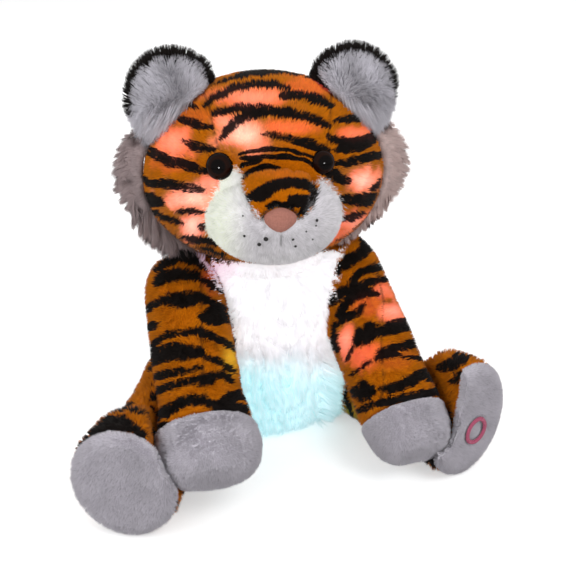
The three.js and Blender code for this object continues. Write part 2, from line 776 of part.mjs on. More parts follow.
for (const slot of [-1, 0, 1]) {
  const foot = point(
    slot * (2 * CELL_RADIUS + CELL_GAP),
    BOX_FORWARD_FACE + BOX_WALL + CELL_GAP + CELL_RADIUS,
    boxMiddle.z - CELL_LENGTH / 2,
  );
  const nub = CELL_RADIUS * 0.38;
  const cell = turning(
    [
      [0, 0],
      [CELL_RADIUS, 0],
      [CELL_RADIUS, CELL_LENGTH - CONTACT_ROOM],
      [nub, CELL_LENGTH - CONTACT_ROOM],
      [nub, CELL_LENGTH],
      [0, CELL_LENGTH],
    ],
    foot,
    Z_AXIS,
    16,
  );
  place(`battery_cell_${slot + 2}`, cell, CELL, hard);
}
place("battery_lead", loom(leadRun(0), WIRE_RADIUS), WIRE, hard);
place("control_board", controlBoard, COPPER, hard);
place("torso_harness", loom(torsoRuns(0), WIRE_RADIUS), WIRE, hard);
for (const [name, at] of Object.entries({ chest: chestLamp, belly: bellyLamp })) {
  place(`${name}_lamp_board`, lampBoard(at, AHEAD), COPPER, hard);
  place(`${name}_lamp_lens`, lampLens(at, AHEAD), CLEAR, hard);
}
place(
  "tail",
  splitAt(tail, tipSeam, tipAlong).near,
  ORANGE,
);
place("tail_tip", splitAt(tail, tipSeam, tipAlong).far, BLACK);

// Head lamps, aimed at the brow and the cheeks, on a loom up the neck's axis
const headLamps = {
  brow: { at: point(0, -BROW_LAMP_FORWARD, BROW_LAMP_HEIGHT), aim: AHEAD },
  left_cheek: {
    at: point(CHEEK_LAMP_SPREAD, -CHEEK_LAMP_FORWARD, CHEEK_LAMP_HEIGHT),
    aim: point(0.6, -0.8, 0),
  },
  right_cheek: {
    at: point(-CHEEK_LAMP_SPREAD, -CHEEK_LAMP_FORWARD, CHEEK_LAMP_HEIGHT),
    aim: point(-0.6, -0.8, 0),
  },
};
const loomTop = point(0, -NECK_FORWARD, LOOM_HEIGHT);
const headRuns = (overrun) => [
  [point(0, -NECK_FORWARD, collarTop + NECK_GAP + PART_GAP - overrun), loomTop],
  ...Object.values(headLamps).map(({ at, aim }) =>
    reach(
      point(0, -NECK_FORWARD, LOOM_HEIGHT - WIRE_RADIUS),
      at.clone().addScaledVector(aim, -PART_GAP - WIRE_RADIUS / 2),
      overrun,
    ),
  ),
];

// Eye posts run straight back into the head
const eyeSeat = (side) => {
  const across = EYE_SPREAD / HEAD_HALF_WIDTH;
  const rise = EYE_RISE / HEAD_HALF_HEIGHT;
  const depth = HEAD_HALF_DEPTH * Math.sqrt(1 - across * across - rise * rise);
  return point(SIDES[side] * EYE_SPREAD, -HEAD_FORWARD - depth - EYE_PROUD, HEAD_HEIGHT + EYE_RISE);
};
const BACK = point(0, 1, 0);
function eyeSolid(side) {
  const dome = [0, 1, 2, 3, 4, 5].map((step) => {
    const angle = (step / 5) * (Math.PI / 2);
    return [EYE_RADIUS * Math.cos(angle), -EYE_DOME * Math.sin(angle)];
  });
  dome[5][0] = 0;
  return turning(
    [
      ...dome.reverse(),
      [EYE_RADIUS, EYE_PROUD],
      [EYE_POST_RADIUS, EYE_PROUD],
      [EYE_POST_RADIUS, EYE_POST_LENGTH],
      [0, EYE_POST_LENGTH],
    ],
    eyeSeat(side),
    BACK,
  );
}
function eyeRoom(side) {
  const seat = eyeSeat(side);
  const at = (back) => seat.clone().addScaledVector(BACK, back);
  return rod(at(-EYE_DOME), at(EYE_PROUD + PART_GAP), EYE_RADIUS + PART_GAP, 20)
    .add(rod(at(0), at(EYE_POST_LENGTH + PART_GAP), EYE_POST_RADIUS + PART_GAP, 14))
    .add(
      rod(
        at(WASHER_BACK - PART_GAP),
        at(WASHER_BACK + WASHER_THICKNESS + PART_GAP),
        WASHER_RADIUS + PART_GAP,
        20,
      ),
    );
}
function washer(side) {
  const at = (back) => eyeSeat(side).addScaledVector(BACK, back);
  const hole = rod(at(0), at(EYE_POST_LENGTH), EYE_POST_RADIUS + PART_GAP, 14);
  return rod(at(WASHER_BACK), at(WASHER_BACK + WASHER_THICKNESS), WASHER_RADIUS, 20).subtract(hole);
}

// Head and what is sewn to it
let head = headForm(0)
  .subtract(torsoForm(NECK_GAP))
  .simplify(COARSE)
  .subtract(loom(headRuns(wireRoom), wireRoom));
for (const { at, aim } of Object.values(headLamps)) head = head.subtract(lampRoom(at, aim));
for (const side of Object.keys(SIDES)) head = head.subtract(eyeRoom(side));
place("head", facing(head), ORANGE);

const noseMiddle = muzzleMiddle
  .clone()
  .add(
    point(
      0,
      -MUZZLE_HALF_DEPTH * Math.cos(NOSE_RISE_DEG * RADIANS),
      MUZZLE_HALF_HEIGHT * Math.sin(NOSE_RISE_DEG * RADIANS),
    ),
  );
const bridgeShape = new THREE.Shape([
  new THREE.Vector2(-BRIDGE_HALF_WIDTH, HEAD_HEIGHT + EYE_RISE),
  new THREE.Vector2(-BRIDGE_TIP_HALF_WIDTH, noseMiddle.z),
  new THREE.Vector2(BRIDGE_TIP_HALF_WIDTH, noseMiddle.z),
  new THREE.Vector2(BRIDGE_HALF_WIDTH, HEAD_HEIGHT + EYE_RISE),
]);
const bridgePrism = new THREE.ExtrudeGeometry(bridgeShape, { depth: FAR, bevelEnabled: false });
bridgePrism.rotateX(Math.PI / 2);
const nose = egg(noseMiddle, NOSE_HALF_WIDTH, NOSE_HALF_DEPTH, NOSE_HALF_HEIGHT, 16, 10);
const noseRoom = egg(
  noseMiddle,
  NOSE_HALF_WIDTH + SEAM_GAP,
  NOSE_HALF_DEPTH + SEAM_GAP,
  NOSE_HALF_HEIGHT + SEAM_GAP,
  16,
  10,
);
const muzzle = muzzleForm(0).subtract(headForm(SEAM_GAP));
const bridge = muzzleForm(SEAM_GAP + BRIDGE_THICKNESS)
  .subtract(muzzleForm(SEAM_GAP))
  .intersect(solidOf(bridgePrism))
  .subtract(headForm(SEAM_GAP))
  .subtract(noseRoom);
place("muzzle", facing(muzzle.simplify(COARSE / 2)), WHITE);
place("nose_bridge", facing(bridge.simplify(COARSE / 2)), ORANGE);
place("nose_pad", facing(nose.subtract(muzzleForm(SEAM_GAP))), PINK);
for (const side of Object.keys(SIDES)) {
  const s = SIDES[side];
  const earWhole = earForm(s, 1, 0, 0).subtract(headForm(SEAM_GAP));
  const lining = earForm(s, LINING_SHARE, LINING_FORWARD, 0).subtract(headForm(SEAM_GAP));
  const ruff = ruffForm(s).subtract(headForm(SEAM_GAP)).subtract(earForm(s, 1, 0, SEAM_GAP));
  place(`${side}_eye`, facing(eyeSolid(side)), EYE, { roughness: 0.06, metalness: 0 });
  place(`${side}_eye_washer`, facing(washer(side)), CLEAR, hard);
  place(
    `${side}_ear_back`,
    facing(earWhole.subtract(earForm(s, LINING_SHARE, LINING_FORWARD, SEAM_GAP)).simplify(COARSE / 2)),
    BLACK,
  );
  place(`${side}_ear_lining`, facing(lining), WHITE);
  place(`${side}_ruff`, facing(ruff.simplify(COARSE / 2)), WHITE);
}
place("head_harness", facing(loom(headRuns(0), WIRE_RADIUS)), WIRE, hard);
for (const [name, { at, aim }] of Object.entries(headLamps)) {
  place(`${name}_lamp_board`, facing(lampBoard(at, aim)), COPPER, hard);
  place(`${name}_lamp_lens`, facing(lampLens(at, aim)), CLEAR, hard);
}

// Arms and paws, the left one with a lamp
const { along: armAlong, up: armUp } = armFrame("left");
const armLamp = shoulder
  .clone()
  .addScaledVector(armRun("left"), ARM_LAMP_SHARE)
  .addScaledVector(armUp, ARM_LAMP_RISE);
const lampBend = armLamp.clone().addScaledVector(armUp, -ARM_LAMP_RISE);
const armRuns = (overrun) => [
  [point(shoulder.x - ARM_RADIUS + PART_GAP * 4 - overrun, shoulder.y, shoulder.z), shoulder],
  [
    shoulder.clone().addScaledVector(armAlong, -WIRE_RADIUS),
    lampBend.clone().addScaledVector(armAlong, WIRE_RADIUS),
  ],
  [lampBend, armLamp.clone().addScaledVector(armUp, overrun - PART_GAP)],
];
for (const side of Object.keys(SIDES)) {
  let arm = arms[side];
  if (side === "left") {
    arm = arm.subtract(lampRoom(armLamp, armUp)).subtract(loom(armRuns(wireRoom * 2), wireRoom));
  }
  const seam = shoulderOf(side).addScaledVector(armRun(side), PAW_SEAM_SHARE[side]);
  const { near, far } = splitAt(arm, seam, armFrame(side).along);
  place(`${side}_arm`, near, ORANGE);
  place(`${side}_paw`, far, WHITE);
}
place("left_arm_harness", loom(armRuns(0), WIRE_RADIUS), WIRE, hard);
place("left_arm_lamp_board", lampBoard(armLamp, armUp), COPPER, hard);
place("left_arm_lamp_lens", lampLens(armLamp, armUp), CLEAR, hard);

// Legs and soles, the left one with the foot switch behind its sole
for (const side of Object.keys(SIDES)) {
  const { along } = legFrame(side);
  const seam = hipOf(side).addScaledVector(along, LEG_LENGTH * SOLE_SEAM_SHARE);
  const { near, far } = splitAt(legs[side], seam, along);
  if (side === "right") {
    place("right_leg", near, ORANGE);
    place("right_sole", far, WHITE);
    continue;
  }
  const { across } = legFrame(side);
  const seamMiddle = point(seam.x, seam.y, FOOT_HALF_HEIGHT.left - FLOOR_CUT - RING_DROP)
    .addScaledVector(across, -RING_INWARD);
  const front = seamMiddle.clone().addScaledVector(along, -SEAM_GAP / 2 - PLUNGER_PLAY - PART_GAP);
  const switchTop = front.clone().addScaledVector(along, -PLUNGER_HEIGHT + PLUNGER_THICKNESS + PLUNGER_PLAY);
  const back = switchTop.clone().addScaledVector(along, -SWITCH_DEPTH);
  const room = rod(
    back.clone().addScaledVector(along, -PART_GAP),
    seamMiddle.clone().addScaledVector(along, SEAM_GAP),
    SWITCH_RADIUS + PART_GAP,
    20,
  );
  const low = hip.clone().add(point(0, 0, -LEG_WIRE_DIP));
  const bend = low.clone().addScaledVector(along, LEG_LENGTH * LEG_WIRE_SHARE);
  const runs = (overrun) => [
    [
      point(hip.x - THIGH_RADIUS + PART_GAP * 4 - overrun, hip.y, hip.z),
      hip.clone().add(point(WIRE_RADIUS, 0, 0)),
    ],
    [hip.clone().add(point(0, 0, WIRE_RADIUS)), low.clone().add(point(0, 0, -WIRE_RADIUS))],
    [low, bend.clone().addScaledVector(along, WIRE_RADIUS)],
    reach(bend, back.clone().addScaledVector(along, -PART_GAP - WIRE_RADIUS / 2), overrun),
  ];
  place("left_leg", near.subtract(room).subtract(loom(runs(wireRoom * 2), wireRoom)), ORANGE);
  place("left_sole", far, WHITE);
  place("left_leg_harness", loom(runs(0), WIRE_RADIUS), WIRE, hard);
  const well = rod(
    back.clone().addScaledVector(along, SWITCH_WALL),
    switchTop.clone().addScaledVector(along, -SWITCH_WALL),
    PLUNGER_RADIUS + PLUNGER_FLANGE + PART_GAP,
    20,
  );
  const mouth = rod(back.clone().addScaledVector(along, SWITCH_WALL), seamMiddle, PLUNGER_RADIUS + PART_GAP, 20);
  const housing = rod(back, switchTop, SWITCH_RADIUS, 20).subtract(well).subtract(mouth);
  const flangeTop = switchTop.clone().addScaledVector(along, -SWITCH_WALL - PART_GAP);
  const flangeBottom = flangeTop.clone().addScaledVector(along, -PLUNGER_THICKNESS);
  const plunger = rod(flangeBottom, flangeTop, PLUNGER_RADIUS + PLUNGER_FLANGE, 20).add(
    rod(flangeBottom, front, PLUNGER_RADIUS, 20),
  );
  place("foot_switch_housing", housing, PLASTIC, hard);
  place("foot_switch_plunger", plunger, CLEAR, hard);
  const soleFace = seamMiddle
    .clone()
    .addScaledVector(along, LEG_LENGTH * (FOOT_SHARES[FOOT_SHARES.length - 1][0] - SOLE_SEAM_SHARE) + PART_GAP);
  const ring = new THREE.TorusGeometry(RING_RADIUS, RING_THREAD, 6, 24);
  ring.applyQuaternion(new THREE.Quaternion().setFromUnitVectors(Z_AXIS, along));
  ring.translate(soleFace.x, soleFace.y, soleFace.z);
  const inFront = solidOf(ring).trimByPlane(along.toArray(), soleFace.dot(along));
  place("left_sole_ring", inFront, ROSE);
}

export default group;
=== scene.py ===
"""Plush tiger night light: stuffed covers, pile, stripes, and the light of the lamps inside."""

import math

import bmesh
import bpy
import numpy as np
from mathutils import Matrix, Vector
from mathutils.bvhtree import BVHTree
from mathutils.kdtree import KDTree


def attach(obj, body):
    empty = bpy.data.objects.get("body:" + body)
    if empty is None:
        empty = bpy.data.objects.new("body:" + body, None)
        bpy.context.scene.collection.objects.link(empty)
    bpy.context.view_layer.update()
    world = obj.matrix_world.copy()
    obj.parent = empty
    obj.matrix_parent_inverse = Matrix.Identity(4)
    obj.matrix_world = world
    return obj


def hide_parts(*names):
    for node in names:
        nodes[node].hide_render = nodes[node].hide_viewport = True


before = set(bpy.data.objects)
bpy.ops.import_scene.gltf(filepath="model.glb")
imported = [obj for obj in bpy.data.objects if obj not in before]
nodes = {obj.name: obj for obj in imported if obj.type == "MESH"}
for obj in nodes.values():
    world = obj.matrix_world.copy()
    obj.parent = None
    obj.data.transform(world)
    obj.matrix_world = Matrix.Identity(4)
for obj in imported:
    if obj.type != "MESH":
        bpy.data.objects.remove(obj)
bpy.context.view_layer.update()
SIDES = ("left", "right")

# The front chart: how the toy is seen by the camera, in chart units
TURN, TILT = math.radians(-19), math.radians(26)
AIM = np.array((0.0, -0.040, 0.120))
AWAY, FOCAL, MIDDLE, PICTURE = 0.700, 980.0, (276.0, 288.0), 576.0
BACK = np.array((math.sin(TURN) * math.cos(TILT), -math.cos(TURN) * math.cos(TILT), math.sin(TILT)))
RIGHT = np.array((math.cos(TURN), math.sin(TURN), 0.0))
UP = np.cross(BACK, RIGHT)
# The tip of the nose, the middle of the neck, and the way the eyes look
NOSE = np.array((-0.021, -0.106, 0.196))
NECK = np.array((0.0, -0.012, 0.205))
FACE = np.array((-0.2079, -0.9781, 0.0))


def chart(points):
    """Where points are seen on the front chart."""
    away = points - AIM
    depth = AWAY - away @ BACK
    across = MIDDLE[0] + FOCAL * (away @ RIGHT) / depth
    return np.stack((across, MIDDLE[1] - FOCAL * (away @ UP) / depth), 1)


def sight(x, y):
    """The line of sight through a place on the front chart."""
    start = Vector(AIM + BACK * AWAY)
    aim = -BACK + RIGHT * ((x - MIDDLE[0]) / FOCAL) + UP * ((MIDDLE[1] - y) / FOCAL)
    return start, Vector(aim).normalized()


def lengths(vectors):
    return np.sqrt((vectors * vectors).sum(1))


def unit(vectors):
    return vectors / np.maximum(lengths(vectors), 1e-9)[:, None]


def wave(points, size, seed):
    """A slow random number over space, about -1 to 1."""
    rng = np.random.default_rng(seed)
    total = np.zeros(len(points))
    for octave in (1.0, 1.7, 2.9):
        slope = unit(rng.normal(size=(2, 3))) * (2 * math.pi * octave / size)
        swing = np.sin(points @ slope.T + rng.uniform(0, 6.28, 2))
        total += swing.sum(1) / (1.1 * octave)
    return total / 1.9


def lean(points, size, seed):
    """A slow random lean that neighbouring hairs share."""
    return np.stack([wave(points, size, seed + k) for k in range(3)], 1)


def ease(values, low, high):
    """0 below low, 1 above high, smooth between."""
    share = np.clip((values - low) / (high - low), 0, 1)
    return share * share * (3 - 2 * share)


# Measuring against the forms


def mesh_arrays(mesh):
    """Points and triangle corners of a mesh."""
    points = np.empty(len(mesh.vertices) * 3)
    mesh.vertices.foreach_get("co", points)
    mesh.calc_loop_triangles()
    corners = np.empty(len(mesh.loop_triangles) * 3, dtype=np.int32)
    mesh.loop_triangles.foreach_get("vertices", corners)
    return points.reshape(-1, 3), corners.reshape(-1, 3)


_surfaces = {}


def surface(name):
    """A lookup of the nearest place on a CAD form, and its box."""
    if name not in _surfaces:
        points, corners = mesh_arrays(nodes[name].data)
        tree = BVHTree.FromPolygons(points.tolist(), corners.tolist())
        _surfaces[name] = (tree, points.min(0), points.max(0))
    return _surfaces[name]


def room_to(points, names, reach):
    """How far each point is from the named forms, below zero inside them."""
    room = np.full(len(points), reach)
    for name in names:
        tree, low, high = surface(name)
        near = ((points > low - reach) & (points < high + reach)).all(1)
        for i in np.flatnonzero(near):
            place = Vector(points[i])
            found, normal, _, far = tree.find_nearest(place, reach)
            if found is None:
                continue
            if (place - found).dot(normal) < 0:
                far = -far
            room[i] = min(room[i], far)
    return room


# Making meshes


def placed(name, data):
    """A new object in the scene."""
    obj = bpy.data.objects.new(name, data)
    bpy.context.collection.objects.link(obj)
    return obj


def finished(name, mesh, body, material):
    """A shown piece on its body and material."""
    obj = placed(name, mesh)
    mesh.materials.clear()
    mesh.materials.append(material)
    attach(obj, body)
    return obj


def from_bmesh(bm, name):
    """A smooth mesh made from a bmesh, which is freed."""
    mesh = bpy.data.meshes.new(name)
    bm.to_mesh(mesh)
    bm.free()
    mesh.polygons.foreach_set("use_smooth", [True] * len(mesh.polygons))
    return mesh


def largest_shell(bm):
    """Keeps the outer shell and drops what is loose inside it."""
    unseen, shells = set(bm.verts), []
    while unseen:
        front = [unseen.pop()]
        shell = list(front)
        while front:
            corner = front.pop()
            for edge in corner.link_edges:
                other = edge.other_vert(corner)
                if other in unseen:
                    unseen.discard(other)
                    front.append(other)
                    shell.append(other)
        shells.append(shell)
    shells.sort(key=len)
    for shell in shells[:-1]:
        bmesh.ops.delete(bm, geom=shell, context="VERTS")


def remeshed(name, voxel, rounds):
    """An even, rounded copy of a CAD form."""
    bm = bmesh.new()
    bm.from_mesh(nodes[name].data)
    bmesh.ops.remove_doubles(bm, verts=bm.verts, dist=0.00001)
    copy = placed(f"{name}_form", from_bmesh(bm, f"{name}_form"))
    grid = copy.modifiers.new("grid", "REMESH")
    grid.mode, grid.voxel_size = "VOXEL", voxel
    depsgraph = bpy.context.evaluated_depsgraph_get()
    bm = bmesh.new()
    bm.from_mesh(copy.evaluated_get(depsgraph).to_mesh())
    bpy.data.objects.remove(copy)
    largest_shell(bm)
    for _ in range(rounds):
        bmesh.ops.smooth_vert(
            bm, verts=bm.verts, factor=0.5, use_axis_x=True, use_axis_y=True, use_axis_z=True
        )
    bmesh.ops.recalc_face_normals(bm, faces=bm.faces)
    return from_bmesh(bm, f"{name}_cover")


def normals_of(mesh):
    """The normals at the points of a mesh."""
    out = np.empty(len(mesh.vertices) * 3)
    mesh.vertex_normals.foreach_get("vector", out)
    return out.reshape(-1, 3)


def set_points(mesh, points):
    """Moves the points of a mesh."""
    mesh.vertices.foreach_set("co", np.ascontiguousarray(points).ravel())
    mesh.update()


# Covers: how far one lies inside its form, how much farther under a form that lies on it, and how near its
# seams are to the forms it is sewn to
SKIN, TUCK, SEWN = 0.0022, 0.0022, 0.0025


class Cover:
    """The sewn fabric of one soft form."""

    def __init__(self, node, body, slot, voxel, rounds, inset, beside=(), under=()):
        self.body, self.slot = body, slot
        self.mesh = remeshed(node, voxel, rounds)
        points, _ = mesh_arrays(self.mesh)
        room = room_to(points, beside, 0.008)
        drawn = inset * ease(room, 0.0005, 0.007)
        if under:
            drawn += TUCK * (1 - ease(room_to(points, under, 0.006), 0.0012, 0.0045))
        set_points(self.mesh, points - normals_of(self.mesh) * drawn[:, None])
        self.sewn = room < SEWN

    def refresh(self):
        """Reads the mesh again after it has been shaped."""
        self.points, self.corners = mesh_arrays(self.mesh)
        self.normals = normals_of(self.mesh)
        self.tree = BVHTree.FromPolygons(self.points.tolist(), self.corners.tolist())


ORANGE, WHITE, BLACK = "orange_plush", "white_plush", "black_plush"
# Body, slot, grid of the remesh, rounds of smoothing, inset, forms it is sewn to, and forms that lie on it
COVERS = {
    "torso": (
        "trunk", ORANGE, 0.0042, 3, SKIN,
        ("belly_panel", "head", "left_arm", "right_arm", "left_leg", "right_leg", "tail", "pocket_flap",
         "battery_box"),
        ("belly_panel",),
    ),
    "belly_panel": ("trunk", WHITE, 0.0024, 2, 0.0, ("torso", "head")),
    "pocket_flap": ("flap", ORANGE, 0.0022, 1, 0.0, ("torso",)),
    "tail": ("tail", ORANGE, 0.0026, 2, SKIN * 0.7, ("torso", "tail_tip")),
    "tail_tip": ("tail", BLACK, 0.0026, 2, SKIN * 0.7, ("tail",)),
    "head": (
        "head", ORANGE, 0.0042, 3, SKIN,
        ("muzzle", "nose_bridge", "left_ruff", "right_ruff", "left_ear_back", "right_ear_back", "torso",
         "left_eye", "right_eye"),
        ("nose_bridge",),
    ),
    "muzzle": ("head", WHITE, 0.0026, 3, SKIN * 0.8, ("head", "nose_bridge", "nose_pad"), ("nose_bridge",)),
    "nose_bridge": ("head", ORANGE, 0.0018, 2, 0.0, ("head", "muzzle")),
    "nose_pad": ("head", "pink_velour", 0.0011, 3, 0.0),
}
for side in SIDES:
    arm, paw, leg, sole, lining = (f"{side}_{form}" for form in ("arm", "paw", "leg", "sole", "ear_lining"))
    COVERS[f"{side}_ear_back"] = ("head", BLACK, 0.0026, 2, 0.0025, (lining, "head"))
    COVERS[lining] = ("head", WHITE, 0.0024, 2, 0.001, ("head",))
    COVERS[f"{side}_ruff"] = ("head", WHITE, 0.0028, 2, 0.0055, ("head",))
    COVERS[arm] = (arm, ORANGE, 0.004, 3, SKIN, ("torso", paw, leg))
    COVERS[paw] = (arm, WHITE, 0.0034, 3, SKIN, (arm, leg, sole))
    COVERS[leg] = (leg, ORANGE, 0.004, 3, SKIN, ("torso", sole, arm, paw))
    COVERS[sole] = (leg, WHITE, 0.0028, 3, SKIN * 0.8, (leg,))
covers = {node: Cover(node, *row) for node, row in COVERS.items()}

# How full each stuffed form is, how far it may swell, and over how many steps
STUFFED = {"torso": 0.7, "head": 0.8}
STUFFED.update({f"{side}_{limb}": 0.7 for limb in ("arm", "leg", "paw") for side in SIDES})
SWELL, STEPS = 0.0016, 20


def fill_covers():
    """Fills covers with stuffing: they swell under pressure and are held where they are sewn."""
    scene = bpy.context.scene
    filled = []
    for name in STUFFED:
        this = covers[name]
        obj = placed(f"{name}_filling", this.mesh)
        group = obj.vertex_groups.new(name="sewn")
        group.add([int(i) for i in np.flatnonzero(this.sewn)], 1.0, "REPLACE")
        cloth = obj.modifiers.new("filling", "CLOTH")
        cloth.settings.quality = 4
        cloth.settings.use_pressure = True
        cloth.settings.uniform_pressure_force = 4
        cloth.settings.vertex_group_mass = "sewn"
        cloth.settings.tension_stiffness = cloth.settings.compression_stiffness = 18
        cloth.settings.bending_stiffness = 0.4
        cloth.settings.effector_weights.gravity = 0
        cloth.collision_settings.use_collision = False
        cloth.point_cache.frame_end = STEPS
        filled.append((this, obj, mesh_arrays(this.mesh)[0]))
    for number in range(1, STEPS + 1):
        scene.frame_set(number)
    depsgraph = bpy.context.evaluated_depsgraph_get()
    for this, obj, before in filled:
        after, _ = mesh_arrays(obj.evaluated_get(depsgraph).data)
        moved = after - before
        far = lengths(moved)[:, None]
        moved *= np.minimum(1, SWELL / np.maximum(far, 1e-9))
        bpy.data.objects.remove(obj)
        set_points(this.mesh, before + moved * ~this.sewn[:, None])
    scene.frame_set(1)


fill_covers()
for this in covers.values():
    this.refresh()


def shape_nose():
    """Draws the lower end of the nose in to a rounded point."""
    this = covers["nose_pad"]
    x, y = chart(this.points).T
    middle = (x.min() + x.max()) / 2
    low = (y - y.min()) / (y.max() - y.min())
    width = 0.9 - 0.10 * (1 - ease(low, 0.0, 0.4)) - 0.24 * ease(low, 0.6, 1.0)
    shift = (middle - x) * (1 - width) / FOCAL * AWAY
    sink = 0.0014 * (1 - ease(low, 0.0, 0.45)) + 0.0006 * ease(low, 0.6, 0.9)
    set_points(this.mesh, this.points + shift[:, None] * RIGHT - sink[:, None] * UP)
    this.refresh()


shape_nose()

# Stripes, drawn on the front chart as strokes: half width, then x and y of each place along it
HEAD_STRIPES = [
    (2.5, 212, 85, 230, 82, 246, 77, 262, 75, 280, 74, 300, 76, 309, 77),
    (3.5, 205, 107, 214, 100, 226, 94, 240, 88, 256, 86, 272, 86, 289, 90),
    (4.7, 214, 115, 226, 112, 240, 109, 262, 111, 280, 113, 300, 116, 316, 121, 328, 127),
    (4.0, 221, 139, 228, 130, 238, 121, 252, 116, 268, 115),
    (4.5, 281, 98, 291, 96, 305, 97, 318, 101, 331, 107), (3.0, 262, 134, 275, 136, 290, 139, 300, 142),
    (4.7, 284, 138, 300, 142, 316, 147, 327, 152), (3.8, 333, 122, 345, 121, 358, 119, 369, 117),
    (4.7, 328, 137, 338, 142, 350, 144, 362, 142, 372, 138, 377, 132),
    (3.6, 334, 150, 348, 150, 360, 148, 372, 142), (3.7, 333, 164, 345, 163, 358, 160, 370, 157, 382, 154),
    (5.3, 323, 170, 332, 174, 341, 180), (4.5, 336, 179, 349, 181),
    (6.1, 341, 198, 352, 199, 366, 199, 383, 197), (3.8, 369, 189, 377, 185, 383, 177, 386, 169),
    (3.8, 342, 219, 350, 216, 361, 212), (2.5, 332, 248, 342, 241, 354, 236), (2.8, 373, 217, 380, 210),
    (5.1, 146, 151, 158, 154, 168, 161, 182, 164, 195, 168, 206, 172),
    (4.7, 144, 177, 152, 183, 165, 184, 180, 185, 192, 188, 203, 190), (5.5, 145, 196, 155, 199, 164, 203),
    (2.8, 147, 203, 153, 209, 162, 214, 172, 219, 184, 222), (2.4, 178, 211, 191, 211, 207, 211),
    (3.2, 199, 226, 208, 227), (3.2, 184, 236, 195, 238, 205, 239, 216, 243),
    (1.8, 150, 218, 159, 228, 170, 235, 182, 240), (3.0, 187, 246, 196, 251),
    (2.1, 195, 245, 213, 249, 226, 254), (4.9, 160, 127, 167, 128),
    (4.0, 181, 121, 190, 123, 201, 127, 213, 128), (4.2, 185, 143, 195, 146, 205, 148, 215, 150),
    (3.0, 180, 107, 188, 105, 197, 108),
]
BRIDGE_STRIPES = [
    (2.0, 239, 155, 250, 152, 262, 150, 275, 149, 290, 151, 303, 154, 313, 158),
    (2.3, 240, 159, 250, 158, 262, 157, 280, 157, 295, 158, 305, 161, 317, 168, 321, 175),
    (2.3, 240, 166, 250, 163, 262, 161), (3.6, 243, 178, 250, 173, 262, 169, 270, 168, 279, 168),
    (5.0, 250, 199, 258, 194, 268, 190, 280, 186, 292, 185, 303, 186, 312, 190, 317, 196),
    (5.8, 252, 198, 262, 196, 273, 193), (5.8, 290, 200, 300, 202, 310, 201, 316, 197),
    # The last stroke below, just above the nose, is painted shadow
    (3.9, 305, 206, 302, 212), (2.2, 266, 206, 276, 204, 290, 204, 300, 207),
]
LIMB_STRIPES = {
    "right_arm": [
        (3.9, 157, 272, 166, 264, 180, 259, 198, 264, 205, 270),
        (6.1, 158, 284, 166, 277, 180, 275, 198, 277), (4.1, 200, 280, 210, 285, 220, 289, 230, 297),
        (4.6, 149, 310, 160, 302, 178, 296, 198, 297, 208, 302, 221, 308), (4.1, 165, 304, 195, 303),
        (9.3, 203, 317, 214, 316, 224, 318), (3.9, 222, 317, 234, 322, 241, 330), (4.4, 147, 328, 158, 324),
        (3.9, 152, 352, 158, 342, 168, 335, 180, 333, 198, 332, 208, 335, 220, 341, 232, 349),
        (8.3, 148, 362, 158, 357, 172, 352, 186, 352, 200, 353),
        (3.2, 201, 356, 214, 360, 224, 366, 232, 373), (3.7, 148, 378, 162, 376, 180, 372, 201, 368),
        (4.1, 150, 398, 162, 390, 180, 383, 198, 380, 210, 378), (5.6, 194, 382, 216, 378),
        (3.9, 211, 374, 224, 377, 231, 381),
        (5.6, 142, 422, 158, 416, 174, 408, 186, 401, 200, 400, 219, 404),
        (5.6, 218, 404, 228, 398, 238, 395, 249, 396), (4.6, 149, 455, 150, 440, 156, 430, 170, 423),
        (5.6, 212, 408, 230, 409, 252, 412, 260, 418, 264, 429),
    ],
    "left_arm": [
        (5.5, 361, 238, 366, 249, 358, 256, 350, 260, 342, 267, 335, 273),
        (3.8, 349, 283, 358, 274, 370, 269, 382, 267, 388, 270),
        (4.1, 328, 300, 342, 292, 354, 288, 370, 282, 385, 279), (6.4, 329, 301, 340, 296),
        (3.8, 389, 282, 401, 287), (4.8, 339, 315, 346, 304, 354, 296, 366, 292, 377, 294),
        (3.9, 334, 327, 346, 318, 358, 312, 365, 304), (3.7, 336, 328, 335, 342, 340, 349),
        (9.2, 358, 340, 368, 332, 378, 330), (7.1, 378, 331, 392, 328, 405, 324, 418, 321, 426, 328),
        (4.1, 379, 352, 396, 348, 410, 344, 430, 342), (2.1, 348, 360, 352, 350, 359, 341),
        (2.1, 351, 375, 364, 366, 376, 358, 390, 355, 407, 356),
        (3.0, 407, 358, 428, 360, 440, 364, 449, 373), (10.3, 358, 391, 370, 390),
        (5.8, 382, 390, 400, 386, 416, 378, 428, 372, 438, 370, 448, 378, 455, 396),
        (7.6, 424, 376, 440, 376, 450, 384), (4.1, 359, 410, 376, 404, 396, 400, 414, 396, 439, 390),
        (5.3, 400, 400, 420, 396, 437, 391),
    ],
    "right_leg": [
        (7.0, 78, 447, 87, 437, 98, 430, 112, 427, 130, 429, 143, 438),
        (2.4, 94, 422, 105, 414, 118, 408, 134, 405), (3.2, 100, 424, 112, 420, 124, 420, 136, 427),
        (3.2, 128, 409, 144, 413), (3.0, 181, 494, 190, 501),
    ],
    "left_leg": [
        (8.0, 430, 344, 446, 341, 462, 346), (6.4, 441, 368, 456, 362, 470, 351), (4.0, 474, 341, 486, 352),
        # The last two strokes darken the leg just under the paw
        (5.0, 452, 382, 466, 372), (6.0, 404, 470, 418, 474, 434, 472),
        (11.0, 422, 462, 432, 465, 442, 468),
    ],
}
# Seams, drawn the same way
SEAMS = {
    "head": [
        (1.3, 203, 90, 210, 108, 214, 130, 219, 150), (1.3, 331, 88, 330, 110, 328, 134, 326, 150),
    ],
    "right_arm": [(1.2, 199, 262, 201, 300, 201, 340, 204, 376, 207, 404)],
    "left_arm": [(1.2, 374, 262, 383, 300, 381, 345, 384, 380, 381, 402)],
}
MOUTH = [(1.1, 281, 231, 281, 243)]
